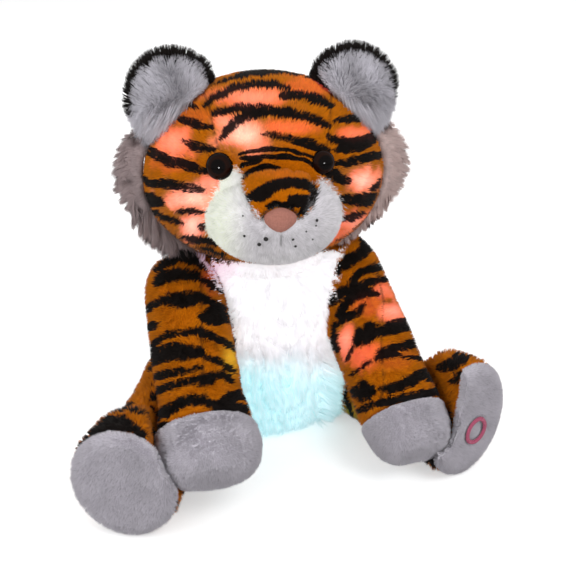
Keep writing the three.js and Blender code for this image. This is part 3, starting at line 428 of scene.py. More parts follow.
# Whisker dots: chart place and size in metres
DOTS = [
    (267, 236, 0.0016), (260, 241.5, 0.0013), (246, 234, 0.0009), (246, 216, 0.0006), (291, 236, 0.0009),
    (294, 243, 0.0009), (310, 237, 0.0006), (304, 230, 0.0006), (314, 220, 0.0010), (313, 225, 0.0006),
]
# The black inner edges of the ears, and painted shade in the hollows of their linings
EAR_EDGES = {
    "right": [(200, 40), (199, 58), (206, 70), (208, 82), (204, 95), (232, 95), (232, 40)],
    "left": [(340, 40), (331, 60), (322, 70), (322, 78), (332, 92), (298, 92), (298, 40)],
}
EAR_HOLLOW_SHADE = {
    "right": [(13, 172, 74, 177, 86, 180, 96), (10, 178, 97, 160, 116)],
    "left": [(14, 350, 74, 356, 88, 366, 102)],
}
# Bands on the sides that the chart doesn't show: spacing, width as a share of it, and seed
BANDS = {
    "torso": (0.016, 0.27, 31), "head": (0.0165, 0.27, 11), "tail": (0.016, 0.26, 67),
    "left_arm": (0.019, 0.24, 41), "right_arm": (0.019, 0.24, 47),
    "left_leg": (0.017, 0.27, 53), "right_leg": (0.017, 0.27, 59),
}


def strokes(points, drawn, blunt=False, crisp=(0.84, 1.16)):
    """How deep each point lies in the drawn strokes: 1 inside, 0 outside."""
    seen = chart(points)
    if not blunt:
        seen = seen + np.stack((wave(points, 0.012, 5), wave(points, 0.012, 14)), 1) * 0.8
    depth = np.zeros(len(points))
    for half, *places in drawn:
        half = half if blunt else half * 1.05 + 0.4
        places = np.array(places, dtype=float).reshape(-1, 2)
        near = ((seen > places.min(0) - half - 2) & (seen < places.max(0) + half + 2)).all(1)
        spots = seen[near]
        if not len(spots):
            continue
        steps = lengths(np.diff(places, axis=0))
        total, passed = steps.sum(), 0.0
        best = np.full(len(spots), 1e9)
        for k, step in enumerate(steps):
            along = places[k + 1] - places[k]
            share = np.clip((spots - places[k]) @ along / (step * step), 0, 1)
            gap = lengths(spots - places[k] - share[:, None] * along)
            s = (passed + share * step) / total
            taper = np.ones(len(s)) if blunt else 0.55 + 0.45 * np.sin(math.pi * s) ** 0.6
            best = np.minimum(best, gap / (half * taper))
            passed += step
        depth[near] = np.maximum(depth[near], 1 - ease(best, *crisp))
    return depth


def bands(points, along, name):
    """Broken, tapering stripes across the given direction."""
    spacing, width, seed = BANDS[name]
    shift = wave(points, 0.07, seed) * 0.34 + wave(points, 0.02, seed + 3) * 0.05
    place = along / spacing + shift
    gap = np.abs(place - np.round(place))
    reach = width * np.clip(0.66 + 0.95 * wave(points, 0.06, seed + 7), 0, 1)
    return 1 - ease(gap, reach * 0.8, reach * 1.15 + 0.02)


def facing(normals):
    """How much a surface faces the camera, 1 straight at it."""
    return normals @ BACK


def striped(points, normals, drawn, along, name, edge=-0.06):
    """Drawn strokes where the chart sees the form, and bands elsewhere."""
    share = ease(facing(normals), edge - 0.08, edge + 0.08)
    return strokes(points, drawn) * share + bands(points, along, name) * (1 - share)


# The light that comes through the pile: chart place, reach across and up, strength, and heat of its middle
CORAL = np.array((0.62, 0.060, 0.045))
PEACH = np.array((0.34, 0.50, 0.45))
GLOWS = {
    "head": [
        (175, 143, 20, 18, 1.0, 0.35), (224, 122, 13, 9, 0.9, 0.4), (252, 98, 42, 11, 0.9, 0.35),
        (246, 136, 25, 17, 1.1, 1.1), (287, 128, 34, 8, 0.7, 0.05), (308, 87, 26, 10, 0.45, 0.0),
        (195, 198, 30, 13, 1.1, 1.0), (214, 184, 12, 12, 0.9, 0.5), (194, 224, 14, 15, 1.1, 1.0),
        (356, 134, 19, 8, 0.8, 0.15), (361, 180, 19, 12, 1.1, 0.9), (356, 222, 24, 12, 0.9, 0.35),
        (190, 118, 24, 14, 0.25, 0.0), (345, 235, 20, 9, 0.7, 0.1), (175, 165, 22, 8, 0.35, 0.0),
    ],
    "right_arm": [(213, 276, 12, 16, 0.22, 0.0), (235, 306, 7, 12, 0.5, 0.2)],
    "left_arm": [
        (392, 311, 15, 11, 1.0, 0.45), (383, 291, 14, 10, 0.8, 0.15), (368, 303, 16, 14, 0.35, 0.0),
        (347, 341, 9, 17, 1.0, 0.4), (364, 356, 16, 14, 0.75, 0.05), (392, 358, 22, 12, 0.15, 0.0),
    ],
    "nose_bridge": [(287, 172, 32, 12, 0.12, 0.0)],
}
# Faint light low on the limbs: chart place, reach across and up, colour, and how far it reaches round
FAINT_GLOWS = {
    "right_arm": (230, 358, 7, 14, (0.36, 0.27, 0.02), 0.2),
    "left_leg": (350, 420, 9, 14, (0.02, 0.16, 0.03), 0.3),
}


def glow_of(name, points, normals):
    """Coral light on the orange pile."""
    total = np.zeros((len(points), 3))
    x, y = chart(points).T
    for across, height, wide, tall, strength, hot in GLOWS[name]:
        far = np.hypot((x - across) / wide, (y - height) / tall)
        far = far * (1 + 0.22 * wave(points, 0.018, 71))
        soft = (1 - ease(far, 0.55, 1.3)) * strength
        total = np.maximum(total, soft[:, None] * CORAL)
        total += (np.exp(-(far**2) * 2.2) * hot)[:, None] * PEACH
    return total * ease(facing(normals), 0.0, 0.25)[:, None]


def faint_glow(name, points, normals):
    """Faint light low on a limb."""
    if name not in FAINT_GLOWS:
        return np.zeros((len(points), 3))
    across, height, wide, tall, colour, reach = FAINT_GLOWS[name]
    x, y = chart(points).T
    near = np.exp(-(((x - across) / wide) ** 2 + ((y - height) / tall) ** 2))
    return (near * ease(facing(normals), -0.2, reach))[:, None] * np.array(colour)


def belly_light(points):
    """White light at the chest that turns to sea green lower down, with a painted shadow band where chest
    and belly meet.
    """
    x, y = chart(points).T
    y = y + 4 * wave(points, 0.03, 21)
    inside = ease(x, 190, 222) * (1 - ease(x, 350, 368))
    green = np.array((0.50, 1.06, 1.10)) + ease(x, 262, 340)[:, None] * np.array((0.16, 0.06, 0.06))
    lilac = np.array((0.92, 0.58, 0.72))
    low = ease(y, 343, 384)[:, None]
    colour = 1 - low + green * low
    corner = (1 - ease(np.hypot(x - 205, y - 256), 14, 48))[:, None]
    colour = colour * (1 - corner) + lilac * corner
    strength = 0.20 + 0.38 * inside
    # A painted shadow band where chest and belly meet, and faint streaks in the light
    shadow_band, streaks = np.exp(-(((y - 352) / 11) ** 2)), wave(points * np.array((1, 1, 0.12)), 0.006, 23)
    strength *= 1 - 0.24 * shadow_band - 0.10 * ease(y, 352, 400) + 0.06 * streaks
    front = ease(facing(unit(points - np.array((0, 0.02, 0.07)))), -0.2, 0.5)
    return colour * (strength * (0.25 + 0.75 * front))[:, None]


# Materials


def nodes_of(name):
    """A new material, its nodes and its shader."""
    material = bpy.data.materials.new(name)
    material.use_nodes = True
    tree = material.node_tree
    return material, tree, tree.nodes["Principled BSDF"]


def put(tree, socket, value):
    """Links a value to a socket, or sets it there."""
    if isinstance(value, bpy.types.NodeSocket):
        tree.links.new(value, socket)
    else:
        socket.default_value = value


def set_inputs(tree, node, **given):
    """Puts values on a node's inputs, named with _ for a space."""
    for label, value in given.items():
        put(tree, node.inputs[label.replace("_", " ")], value)


def math_node(tree, operation, *given):
    """What a Math node makes of the given values."""
    node = tree.nodes.new("ShaderNodeMath")
    node.operation = operation
    for socket, value in zip(node.inputs, given):
        put(tree, socket, value)
    return node.outputs[0]


def mix_colours(tree, *given):
    """The second colour over the first, by the factor before them."""
    node = tree.nodes.new("ShaderNodeMix")
    node.data_type = "RGBA"
    for number, value in zip((0, 6, 7), given):
        put(tree, node.inputs[number], value)
    return node.outputs[2]


def scaled(tree, colour, factor):
    """A colour, brighter or darker by a factor."""
    node = tree.nodes.new("ShaderNodeVectorMath")
    node.operation = "SCALE"
    put(tree, node.inputs[0], colour)
    put(tree, node.inputs["Scale"], factor)
    return node.outputs[0]


def object_place(tree):
    """The place on the object."""
    return tree.nodes.new("ShaderNodeTexCoord").outputs["Object"]


def attribute(tree, name):
    """What is marked on the mesh under a name."""
    node = tree.nodes.new("ShaderNodeAttribute")
    node.attribute_name = name
    return node.outputs


FLOAT, COLOUR = "NodeSocketFloat", "NodeSocketColor"


def group(name, colours, levels, kind):
    """An empty shader group with named colours and levels going in, and one output."""
    tree = bpy.data.node_groups.new(name, "ShaderNodeTree")
    for labels, sort in ((colours, COLOUR), (levels, FLOAT)):
        for label in labels:
            tree.interface.new_socket(label, in_out="INPUT", socket_type=sort)
    tree.interface.new_socket("Color" if kind == COLOUR else "Value", in_out="OUTPUT", socket_type=kind)
    given = tree.nodes.new("NodeGroupInput").outputs
    return tree, given, tree.nodes.new("NodeGroupOutput").inputs[0]


def build_pile_colour():
    """Ground and print colours of a pile, darker towards the root with painted shade among the hairs, and
    uneven from tuft to tuft.
    """
    tree, given, out = group(
        "pile colour", ("Ground", "Print", "White"), ("Stripe", "Along", "Tuft", "Bleached"), COLOUR
    )
    ground = mix_colours(tree, given["Bleached"], given["Ground"], given["White"])
    printed = mix_colours(tree, given["Stripe"], ground, given["Print"])
    patch = tree.nodes.new("ShaderNodeTexNoise")
    set_inputs(tree, patch, Vector=object_place(tree), Scale=60, Detail=3)
    # Painted shade among the hairs: the pile is darker towards the root
    depth = math_node(tree, "MULTIPLY_ADD", given["Along"], 0.30, 0.75)
    uneven = math_node(tree, "MULTIPLY_ADD", given["Tuft"], 0.30, 0.86)
    worn = math_node(tree, "MULTIPLY_ADD", patch.outputs[0], 0.3, 0.85)
    level = math_node(tree, "MULTIPLY", math_node(tree, "MULTIPLY", depth, uneven), worn)
    tree.links.new(scaled(tree, printed, level), out)
    return tree


def build_lamp_light():
    """Light that comes through the pile, held back by the dark print."""
    tree, given, out = group("lamp light", ("Glow",), ("Stripe", "Along", "Tuft", "Held"), COLOUR)
    kept = math_node(tree, "SUBTRACT", 1.0, math_node(tree, "MULTIPLY", given["Stripe"], given["Held"]))
    uneven = math_node(tree, "MULTIPLY_ADD", given["Tuft"], 0.4, 0.8)
    depth = math_node(tree, "MULTIPLY_ADD", given["Along"], -0.2, 1.1)
    level = math_node(tree, "MULTIPLY", math_node(tree, "MULTIPLY", kept, uneven), depth)
    tree.links.new(scaled(tree, given["Glow"], level), out)
    return tree


def build_grain():
    """Fine uneven grain for moulded and woven surfaces."""
    tree, given, out = group("grain", (), ("Scale", "Low", "High"), FLOAT)
    noise, spread = tree.nodes.new("ShaderNodeTexNoise"), tree.nodes.new("ShaderNodeMapRange")
    set_inputs(tree, noise, Vector=object_place(tree), Scale=given["Scale"], Detail=4)
    set_inputs(tree, spread, Value=noise.outputs[0], From_Min=0.3, From_Max=0.7)
    set_inputs(tree, spread, To_Min=given["Low"], To_Max=given["High"])
    tree.links.new(spread.outputs[0], out)
    return tree


PILE_COLOUR, LAMP_LIGHT, GRAIN = build_pile_colour(), build_lamp_light(), build_grain()


def use_group(tree, made, **given):
    """A shader group in a material, with its own values."""
    node = tree.nodes.new("ShaderNodeGroup")
    node.node_tree = made
    set_inputs(tree, node, **given)
    return node.outputs[0]


ORANGE_PILE = (0.67, 0.19, 0.002)
WHITE_PILE = (0.72, 0.685, 0.75)
# Painted shade: the ear linings are the white pile in a darker copy
SHADED_LINING_PILE = (0.62, 0.60, 0.655)
# Painted shade: the ruffs are the white pile in darker, warmer copies, the right ruff darker than the left
SHADED_RUFF_PILE = {"left": (0.65, 0.50, 0.475), "right": (0.425, 0.335, 0.335)}
BLACK_PILE = (0.010, 0.007, 0.006)


def plush(name, ground):
    """Pile whose stripes and light follow the marks kept on each hair."""
    material, tree, shader = nodes_of(name)
    marks, glow = attribute(tree, "marks"), attribute(tree, "glow")
    split = tree.nodes.new("ShaderNodeSeparateColor")
    tree.links.new(marks["Color"], split.inputs[0])
    shared = dict(zip(("Stripe", "Along", "Tuft"), split.outputs))
    colour = use_group(
        tree, PILE_COLOUR, Ground=(*ground, 1), Print=(*BLACK_PILE, 1), White=(*WHITE_PILE, 1),
        Bleached=marks["Alpha"], **shared,
    )
    light = use_group(tree, LAMP_LIGHT, Glow=glow["Color"], Held=0.97, **shared)
    set_inputs(
        tree, shader, Base_Color=colour, Emission_Color=light, Emission_Strength=1.0, Roughness=0.85,
        Sheen_Weight=0.05, Specular_IOR_Level=0.12,
    )
    return material


def grained(name, colour, rough, scale, metallic=0.0, emission=None, bump=0.0):
    """A plain moulded or woven finish with a fine grain."""
    material, tree, shader = nodes_of(name)
    shade = use_group(tree, GRAIN, Scale=scale, Low=0.85, High=1.1)
    uneven = use_group(tree, GRAIN, Scale=scale * 2, Low=rough * 0.85, High=rough)
    set_inputs(tree, shader, Base_Color=scaled(tree, colour, shade), Roughness=uneven, Metallic=metallic)
    if emission:
        set_inputs(tree, shader, Emission_Color=(*emission, 1), Emission_Strength=1.0)
    if bump:
        raised = tree.nodes.new("ShaderNodeBump")
        height = use_group(tree, GRAIN, Scale=scale * 3, Low=0.0, High=1.0)
        set_inputs(tree, raised, Strength=bump, Distance=0.0004, Height=height)
        tree.links.new(raised.outputs[0], shader.inputs["Normal"])
    return material


MATERIALS = {
    ORANGE: plush("orange_pile", ORANGE_PILE),
    WHITE: plush("white_pile", WHITE_PILE),
    BLACK: plush("black_pile", BLACK_PILE),
    # Painted shade: the linings' pile is a darker copy of the white pile
    "lining": plush("lining_pile", SHADED_LINING_PILE),
    # Painted shade: the ruffs' pile is the white pile in darker, warmer copies, the right one darker than
    # the left
    "left_ruff": plush("left_ruff_pile", SHADED_RUFF_PILE["left"]),
    "right_ruff": plush("right_ruff_pile", SHADED_RUFF_PILE["right"]),
    "pink_velour": grained("nose_velour", (0.40, 0.165, 0.125), 0.95, 900, bump=0.5),
    "rose_thread": grained("ring_thread", (0.42, 0.08, 0.15), 0.7, 1500, bump=0.5),
    "knots": grained("whisker_knots", (0.010, 0.008, 0.008), 0.7, 1500),
    "tape": grained("woven_tape", (0.69, 0.66, 0.60), 0.9, 1500, bump=0.6),
    "dark_plastic": grained("moulded_case", (0.023, 0.023, 0.025), 0.5, 800, bump=0.15),
    "clear_plastic": grained("lamp_lens", (0.80, 0.85, 0.85), 0.2, 300, emission=(0.35, 0.6, 0.6)),
    "board": grained("circuit_board", (0.014, 0.144, 0.042), 0.45, 700),
    "wire": grained("wire_sleeve", (0.35, 0.009, 0.009), 0.4, 700),
    "cell": grained("cell_sleeve", (0.042, 0.050, 0.061), 0.3, 500, metallic=0.4),
}


def finish_of(node, slot):
    """The material of a soft form's cover and pile."""
    if node.endswith("_lining"):
        return MATERIALS["lining"]
    return MATERIALS[node if node.endswith("_ruff") else slot]


def eye_material(name, centre):
    """Near-black glass with a brown ring round its middle."""
    material, tree, shader = nodes_of(name)
    far = tree.nodes.new("ShaderNodeVectorMath")
    far.operation = "DISTANCE"
    far.inputs[1].default_value = centre
    tree.links.new(object_place(tree), far.inputs[0])
    ramp = tree.nodes.new("ShaderNodeValToRGB")
    tree.links.new(math_node(tree, "MULTIPLY", far.outputs["Value"], 100.0), ramp.inputs[0])
    dark = (0.003, 0.002, 0.002)
    rings = ((0.0, dark), (0.42, dark), (0.56, (0.014, 0.004, 0.002)), (0.76, (0.010, 0.003, 0.002)),
             (0.88, dark))
    while len(ramp.color_ramp.elements) < len(rings):
        ramp.color_ramp.elements.new(0.5)
    for element, (position, colour) in zip(ramp.color_ramp.elements, rings):
        element.position, element.color = position, (*colour, 1)
    set_inputs(tree, shader, Base_Color=ramp.outputs[0], Roughness=0.05, Specular_IOR_Level=0.06)
    return material


# Marks on covers and hairs


def marks_on(mesh, stripe, along, tuft, bleached, glow):
    """Keeps stripe, place along the hair, tuft, whiteness and glow on the points of a mesh."""
    marks = np.stack((stripe, along, tuft, bleached), 1)
    light = np.concatenate((glow, np.ones((len(glow), 1))), 1)
    for name, table in (("marks", marks), ("glow", light)):
        layer = mesh.attributes.new(name, "FLOAT_COLOR", "POINT")
        layer.data.foreach_set("color", table.astype(np.float32).ravel())


def spike(rings):
    """One hair: a three-sided spike closed at its root, with rings to bend at."""
    bm = bmesh.new()
    bmesh.ops.create_cone(bm, cap_ends=True, segments=3, radius1=1, radius2=0, depth=1)
    bmesh.ops.translate(bm, verts=bm.verts, vec=(0, 0, 0.5))
    for height in rings:
        bmesh.ops.bisect_plane(
            bm, geom=[*bm.verts, *bm.edges, *bm.faces], plane_co=(0, 0, height), plane_no=(0, 0, 1)
        )
    bmesh.ops.triangulate(bm, faces=bm.faces)
    bm.verts.index_update()
    points = np.array([v.co for v in bm.verts])
    corners = np.array([[v.index for v in f.verts] for f in bm.faces], dtype=np.int32)
    bm.free()
    return points, corners


SHORT_HAIR, LONG_HAIR = spike(()), spike((0.5,))
# How deep a hair roots, and how high above the floor its root, its tip and all of it stay
ROOTED, ROOT_FLOOR, TIP_FLOOR, FLOOR = 0.0004, 0.0004, 0.0005, 0.0003
# The share of its length that a hair keeps beside another form, and where it is cut short
LEAST, CUT = 0.22, 0.45
# How round the shading of short, long and velvet hairs is
ROUND_SHORT, ROUND_LONG, ROUND_VELVET = 0.35, 0.85, 0.12


def scattered(this, count, where, rng):
    """Random places on a cover, and its normals there."""
    a, b, c = (this.points[this.corners[:, k]] for k in range(3))
    area = lengths(np.cross(b - a, c - a))
    if where is not None:
        area = area * where((a + b + c) / 3, unit(np.cross(b - a, c - a)))
    picked = rng.choice(len(area), count, p=area / area.sum())
    u, v = rng.random((2, count))
    over = u + v > 1
    u[over], v[over] = 1 - u[over], 1 - v[over]
    w = 1 - u - v
    roots = a[picked] * w[:, None] + b[picked] * u[:, None] + c[picked] * v[:, None]
    weights = ((w, 0), (u, 1), (v, 2))
    return roots, unit(sum(this.normals[this.corners[picked, k]] * s[:, None] for s, k in weights))


def tufts(roots, locks, rng):
    """The hairs that lead each tuft, and which tuft each hair is in."""
    tree = KDTree(locks)
    chosen = rng.choice(len(roots), locks, replace=False)
    for k, i in enumerate(chosen):
        tree.insert(Vector(roots[i]), k)
    tree.balance()
    return chosen, np.array([tree.find(Vector(p))[1] for p in roots])


def corner_table(count, hair):
    """The points at the corners of all hairs' triangles."""
    shape, corners = hair
    return (corners.ravel()[None, :] + np.arange(count)[:, None] * len(shape)).astype(np.int32).ravel()


def hair_mesh(name, grown, rest, hair):
    """All hairs of a pile as one mesh, shaded by the given normals."""
    index = corner_table(len(grown), hair)
    mesh = bpy.data.meshes.new(name)
    mesh.vertices.add(grown.shape[0] * grown.shape[1])
    mesh.vertices.foreach_set("co", grown.ravel())
    mesh.loops.add(len(index))
    mesh.loops.foreach_set("vertex_index", index)
    mesh.polygons.add(len(index) // 3)
    mesh.polygons.foreach_set("loop_start", np.arange(0, len(index), 3, dtype=np.int32))
    mesh.polygons.foreach_set("use_smooth", np.ones(len(index) // 3, dtype=bool))
    mesh.update(calc_edges=True)
    mesh.normals_split_custom_set_from_vertices(unit(rest.reshape(-1, 3)).tolist())
    return mesh


def bake_layer(mesh, count, hair):
    """A cell of the bake's layer for each hair."""
    shape, _ = hair
    cells = math.ceil(math.sqrt(count))
    column, row = np.arange(count) % cells, np.arange(count) // cells
    inner = np.stack((shape[:, 0] * 0.22 + 0.5, shape[:, 2] * 0.7 + 0.12 + shape[:, 1] * 0.05), 1)
    spot = (np.stack((column, row), 1)[:, None, :] + inner[None, :, :]) / cells
    layer = mesh.uv_layers.new(name="OFBake")
    places = spot.reshape(-1, 2)[corner_table(count, hair)]
    layer.uv.foreach_set("vector", places.astype(np.float32).ravel())


def pile(
    name, node, count, long, thick, seed, comb=None, near=(), *, paint=None, slot=None, where=None,
    skip=None, short=None, shade=None, hair=SHORT_HAIR, rough=0.28, clump=0.35, clump_size=14, droop=0.0,
    spare=0.00048, velvet=False,
):
    """Grows hairs on a cover and keeps them clear of the forms beside it; shade turns their shading."""
    this = covers[node]
    rng = np.random.default_rng(seed)
    roots, normals = scattered(this, count, where, rng)
    keep = np.ones(count, dtype=bool)
    size = long * rng.uniform(0.8, 1.15, count)
    if near:
        room = room_to(roots + normals * ROOTED, near, long * 1.1)
        keep &= room > spare
        size = np.minimum(size, np.maximum(room * 0.85, long * LEAST))
    if skip is not None:
        keep &= ~skip(roots, normals)
    if short is not None:
        size = np.where(short(roots, rng), size * CUT, size)
    if node in SEAMS:
        size *= 1 - 0.5 * strokes(roots, SEAMS[node], blunt=True, crisp=(0.2, 1.9))
    keep &= roots[:, 2] > ROOT_FLOOR
    roots, normals, size = roots[keep], normals[keep], size[keep]
    count = len(roots)
    way = normals + lean(roots, 0.03, seed + 40) * rough * 0.8 + rng.normal(size=(count, 3)) * rough * 0.5
    if comb is not None:
        way = way + comb(roots, normals)
    way = unit(way)
    way = unit(way + normals * np.maximum(0, 0.25 - (way * normals).sum(1))[:, None] * 2)
    tips = roots + way * size[:, None]
    chosen, member = tufts(roots, max(8, count // clump_size), rng)
    tuft = rng.random(len(chosen))[member] * 0.6 + rng.random(count) * 0.4
    bulge = ROUND_SHORT if hair is SHORT_HAIR else ROUND_LONG
    if velvet:
        tuft, bulge = 0.5 + (tuft - 0.5) * 0.3, ROUND_VELVET
    pull = clump * rng.uniform(0.5, 1.2, count)[:, None]
    tips = tips + (tips[chosen][member] - tips) * pull * np.minimum(1, size / long)[:, None]
    tips[:, 2] = np.maximum(tips[:, 2], TIP_FLOOR)
    way = tips - roots
    size = lengths(way)
    way = unit(way)
    side = unit(np.cross(way, rng.normal(size=(count, 3))))
    other = np.cross(way, side)
    thin = (thick * rng.uniform(0.8, 1.2, count))[:, None]
    shape, _ = hair
    grown, rest = np.empty((2, count, len(shape), 3))
    sag = np.array((0, 0, -1.0)) * (droop * size)[:, None]
    lit = normals if shade is None else shade(roots, normals)
    for k, (x, y, z) in enumerate(shape):
        round_part = side * x + other * y
        grown[:, k] = roots + round_part * thin + way * (size * z)[:, None] + sag * z * z
        grown[:, k] -= way * (ROOTED * (1 - z))
        rest[:, k] = lit + round_part * bulge + way * 0.15 * z
    grown[:, :, 2] = np.maximum(grown[:, :, 2], FLOOR)
    mesh = hair_mesh(name, grown, rest, hair)
    stripe, white, glow = (paint or PAINTS[node])(roots, normals, rng)
    each = len(shape)
    marks_on(
        mesh, np.repeat(stripe, each), np.tile(shape[:, 2], count), np.repeat(tuft, each),
        np.repeat(white, each), np.repeat(glow, each, axis=0),
    )
    bake_layer(mesh, count, hair)
    slot = slot or this.slot
    finished(name, mesh, this.body, finish_of(node, slot))


def dress(node):
    """Shows a cover, marked like the pile that grows on it."""
    this = covers[node]
    stripe, white, glow = PAINTS[node](this.points, this.normals, np.random.default_rng(3))
    count = len(this.points)
    marks_on(this.mesh, stripe, np.zeros(count), np.full(count, 0.4), white, glow)
    obj = finished(f"{node}_cover", this.mesh, this.body, finish_of(node, this.slot))
    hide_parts(node)


# What each form carries: a paint gives the stripe, whiteness and glow of points on it


def marked(points, stripe=None, white=None, glow=None):
    """Marks for a paint, with nothing where none is given."""
    nothing = np.zeros(len(points))
    return (
        nothing if stripe is None else stripe,
        nothing if white is None else white.astype(float),
        np.zeros((len(points), 3)) if glow is None else glow,
    )


def plain(points, normals, rng):
    """No marks."""
    return marked(points)


def jitter(stripe, rng, rough=0.09):
    """Sharp print on each hair, uneven at the edge of a stripe."""
    return (stripe + rng.uniform(-rough, rough, len(stripe)) > 0.5).astype(float)


def inside_patch(points, corners, rng, soft=2.0):
    """Which points lie in a patch that is drawn on the front chart."""
    seen = chart(points) + rng.normal(size=(len(points), 2)) * soft
    x, y = seen.T
    inside = np.zeros(len(points), dtype=bool)
    for (x1, y1), (x2, y2) in zip(corners, corners[1:] + corners[:1]):
        crosses = (y1 > y) != (y2 > y)
        inside ^= crosses & (x < (x2 - x1) * (y - y1) / ((y2 - y1) or 1e-9) + x1)
    return inside


# Patches, drawn on the front chart: the white tops of the muzzle, the short pile between the eyes, the
# striped middle of the muzzle, the top of the right arm, and the white of the chest
LOBES = (
    [(235, 164), (242, 174), (244, 184), (247, 196), (251, 206), (260, 216), (255, 252), (207, 242),
     (206, 212), (211, 197), (220, 181), (229, 171)],
    [(318, 177), (328, 181), (337, 192), (342, 207), (344, 234), (300, 252), (300, 219), (311, 211),
     (316, 200), (318, 190)],
)
BROW = [(231, 150), (246, 144), (262, 141), (300, 142), (318, 148), (326, 158), (326, 180), (300, 176),
        (245, 176), (234, 168)]
SNOUT = [(243, 168), (318, 172), (318, 190), (316, 200), (311, 211), (300, 219), (262, 218), (251, 206),
         (247, 196), (244, 184)]
SHOULDER = [(183, 248), (207, 248), (209, 262), (183, 262)]
# From what height up the white of the chest spreads wide over the torso, and over the arms
TORSO_WHITE, ARM_WHITE = 0.105, 0.108
CHEST = [
    (188, 247), (215, 262), (250, 258), (342, 250), (337, 272), (332, 298), (334, 340), (349, 367),
    (353, 394), (352, 430), (330, 450), (262, 450), (240, 400), (238, 345), (224, 300), (206, 268),
]


def muzzle_light(points):
    """Faint light on the muzzle, greenish on its right."""
    x, y = chart(points).T
    left = 1 - ease(x, 218, 258)
    level = 0.14 + 0.24 * left + 0.03 * ease(x, 312, 335) + 0.04 * ease(y, 240, 262)
    return level[:, None] * np.stack((0.95 - 0.07 * left, 0.95 + 0.05 * left, 0.86 - 0.22 * left), 1)


def in_lobes(points, normals, rng):
    """On the white tops of the muzzle."""
    white = np.zeros(len(points), dtype=bool)
    for corners in LOBES:
        white |= inside_patch(points, corners, rng, 1.4)
    white &= facing(normals) > 0.0
    white[white] = room_to(points[white], ("muzzle", "nose_bridge"), 0.009) < 0.0089
    return white


def seam_shade(name, stripe, points):
    """Adds a shade along the seams of a form to its stripe."""
    return np.maximum(stripe, 0.6 * strokes(points, SEAMS[name], blunt=True, crisp=(0.3, 1.5)))


def paint_head(points, normals, rng):
    along = 0.8 * (points[:, 2] - points[:, 1]) + 0.25 * np.abs(points[:, 0])
    stripe = striped(points, normals, HEAD_STRIPES + BRIDGE_STRIPES, along, "head", edge=0.18)
    stripe = seam_shade("head", jitter(stripe, rng), points)
    white = in_lobes(points, normals, rng)
    glow = np.where(white[:, None], muzzle_light(points), glow_of("head", points, normals))
    return marked(points, stripe * ~white, white, glow)


def paint_bridge(points, normals, rng):
    white = in_lobes(points, normals, rng)
    stripe = jitter(strokes(points, BRIDGE_STRIPES), rng) * ~white
    glow = np.where(white[:, None], muzzle_light(points), glow_of("nose_bridge", points, normals))
    return marked(points, stripe, white, glow)


def torso_bands(points):
    return bands(points, points[:, 2] + 0.2 * np.abs(points[:, 0]), "torso")


def paint_torso(points, normals, rng):
    stripe = torso_bands(points)
    white = inside_patch(points, CHEST, rng) & (normals[:, 1] < 0.1)
    white &= room_to(points, ("belly_panel",), 0.026) < np.where(points[:, 2] > TORSO_WHITE, 0.0259, 0.012)
    glow = belly_light(points) * white[:, None]
    return marked(points, jitter(stripe, rng) * ~white, white, glow)


def paint_belly(points, normals, rng):
    return marked(points, glow=belly_light(points))


def in_snout(points, normals):
    """Where the white muzzle carries the striped pile of the bridge."""
    return inside_patch(points, SNOUT, np.random.default_rng(9), 1.0) & (facing(normals) > 0.1)


def paint_muzzle(points, normals, rng):
    # Under the snout's striped pile the white cover is darkened, partly standing in for the striped fabric
    # there and partly painted shade between the hairs
    stripe = np.maximum(0.45 * strokes(points, MOUTH, blunt=True), 0.85 * in_snout(points, normals))
    return marked(points, stripe, glow=muzzle_light(points))


# How low on the chart the backs of the ears turn white
EAR_ENDS = {"left": 101, "right": 116}


def paint_ear_back(side):
    def paint(points, normals, rng):
        x, y = chart(points).T
        return marked(points, white=y + rng.normal(size=len(points)) > EAR_ENDS[side])

    return paint


def paint_lining(side):
    def paint(points, normals, rng):
        edge = inside_patch(points, EAR_EDGES[side], rng, 1.2) & (facing(normals) > 0)
        # Painted shade in the hollows of the lining: about a third of the dark print
        hollow = strokes(points, EAR_HOLLOW_SHADE[side], blunt=True, crisp=(0.0, 1.2))
        return marked(points, np.maximum(edge, 0.34 * hollow))

    return paint


# The way each limb runs from its seam
RUNS = {
    "left_arm": (0.055, -0.83, -0.56), "right_arm": (-0.09, -0.86, -0.49),
    "left_leg": (0.375, -0.927, 0.0), "right_leg": (-0.515, -0.857, 0.0),
}


def paint_arm(side):
    name = f"{side}_arm"

    def paint(points, normals, rng):
        stripe = striped(points, normals, LIMB_STRIPES[name], points @ np.array(RUNS[name]), name)
        glow = glow_of(name, points, normals) + faint_glow(name, points, normals)
        stripe = seam_shade(name, jitter(stripe, rng), points)
        white = inside_patch(points, CHEST, rng) & (facing(normals) > 0.1) & (points[:, 2] > ARM_WHITE)
        glow = np.where(white[:, None], belly_light(points), glow)
        return marked(points, stripe * ~white, white, glow)

    return paint


def paint_leg(side):
    name = f"{side}_leg"

    def paint(points, normals, rng):
        x, y = chart(points).T
        shown = (y < 456) & (x < 150) if side == "right" else (x > 400) & ((y < 385) | (y > 450))
        stripe = bands(points, points @ np.array(RUNS[name]), name)
        share = ease(facing(normals), 0.0, 0.2) * shown
        stripe = stripe * (1 - share) + strokes(points, LIMB_STRIPES[name]) * share
        return marked(points, jitter(stripe, rng), glow=faint_glow(name, points, normals))

    return paint


# The middle of the tail's curl, and its radius
CURL_X, CURL_Y, CURL_RADIUS = 0.03, 0.07, 0.035


def paint_tail(points, normals, rng):
    turn = np.arctan2(points[:, 1] - CURL_Y, points[:, 0] - CURL_X) * CURL_RADIUS
    return marked(points, jitter(bands(points, turn, "tail"), rng))


def paint_flap(points, normals, rng):
    return marked(points, jitter(torso_bands(points), rng))


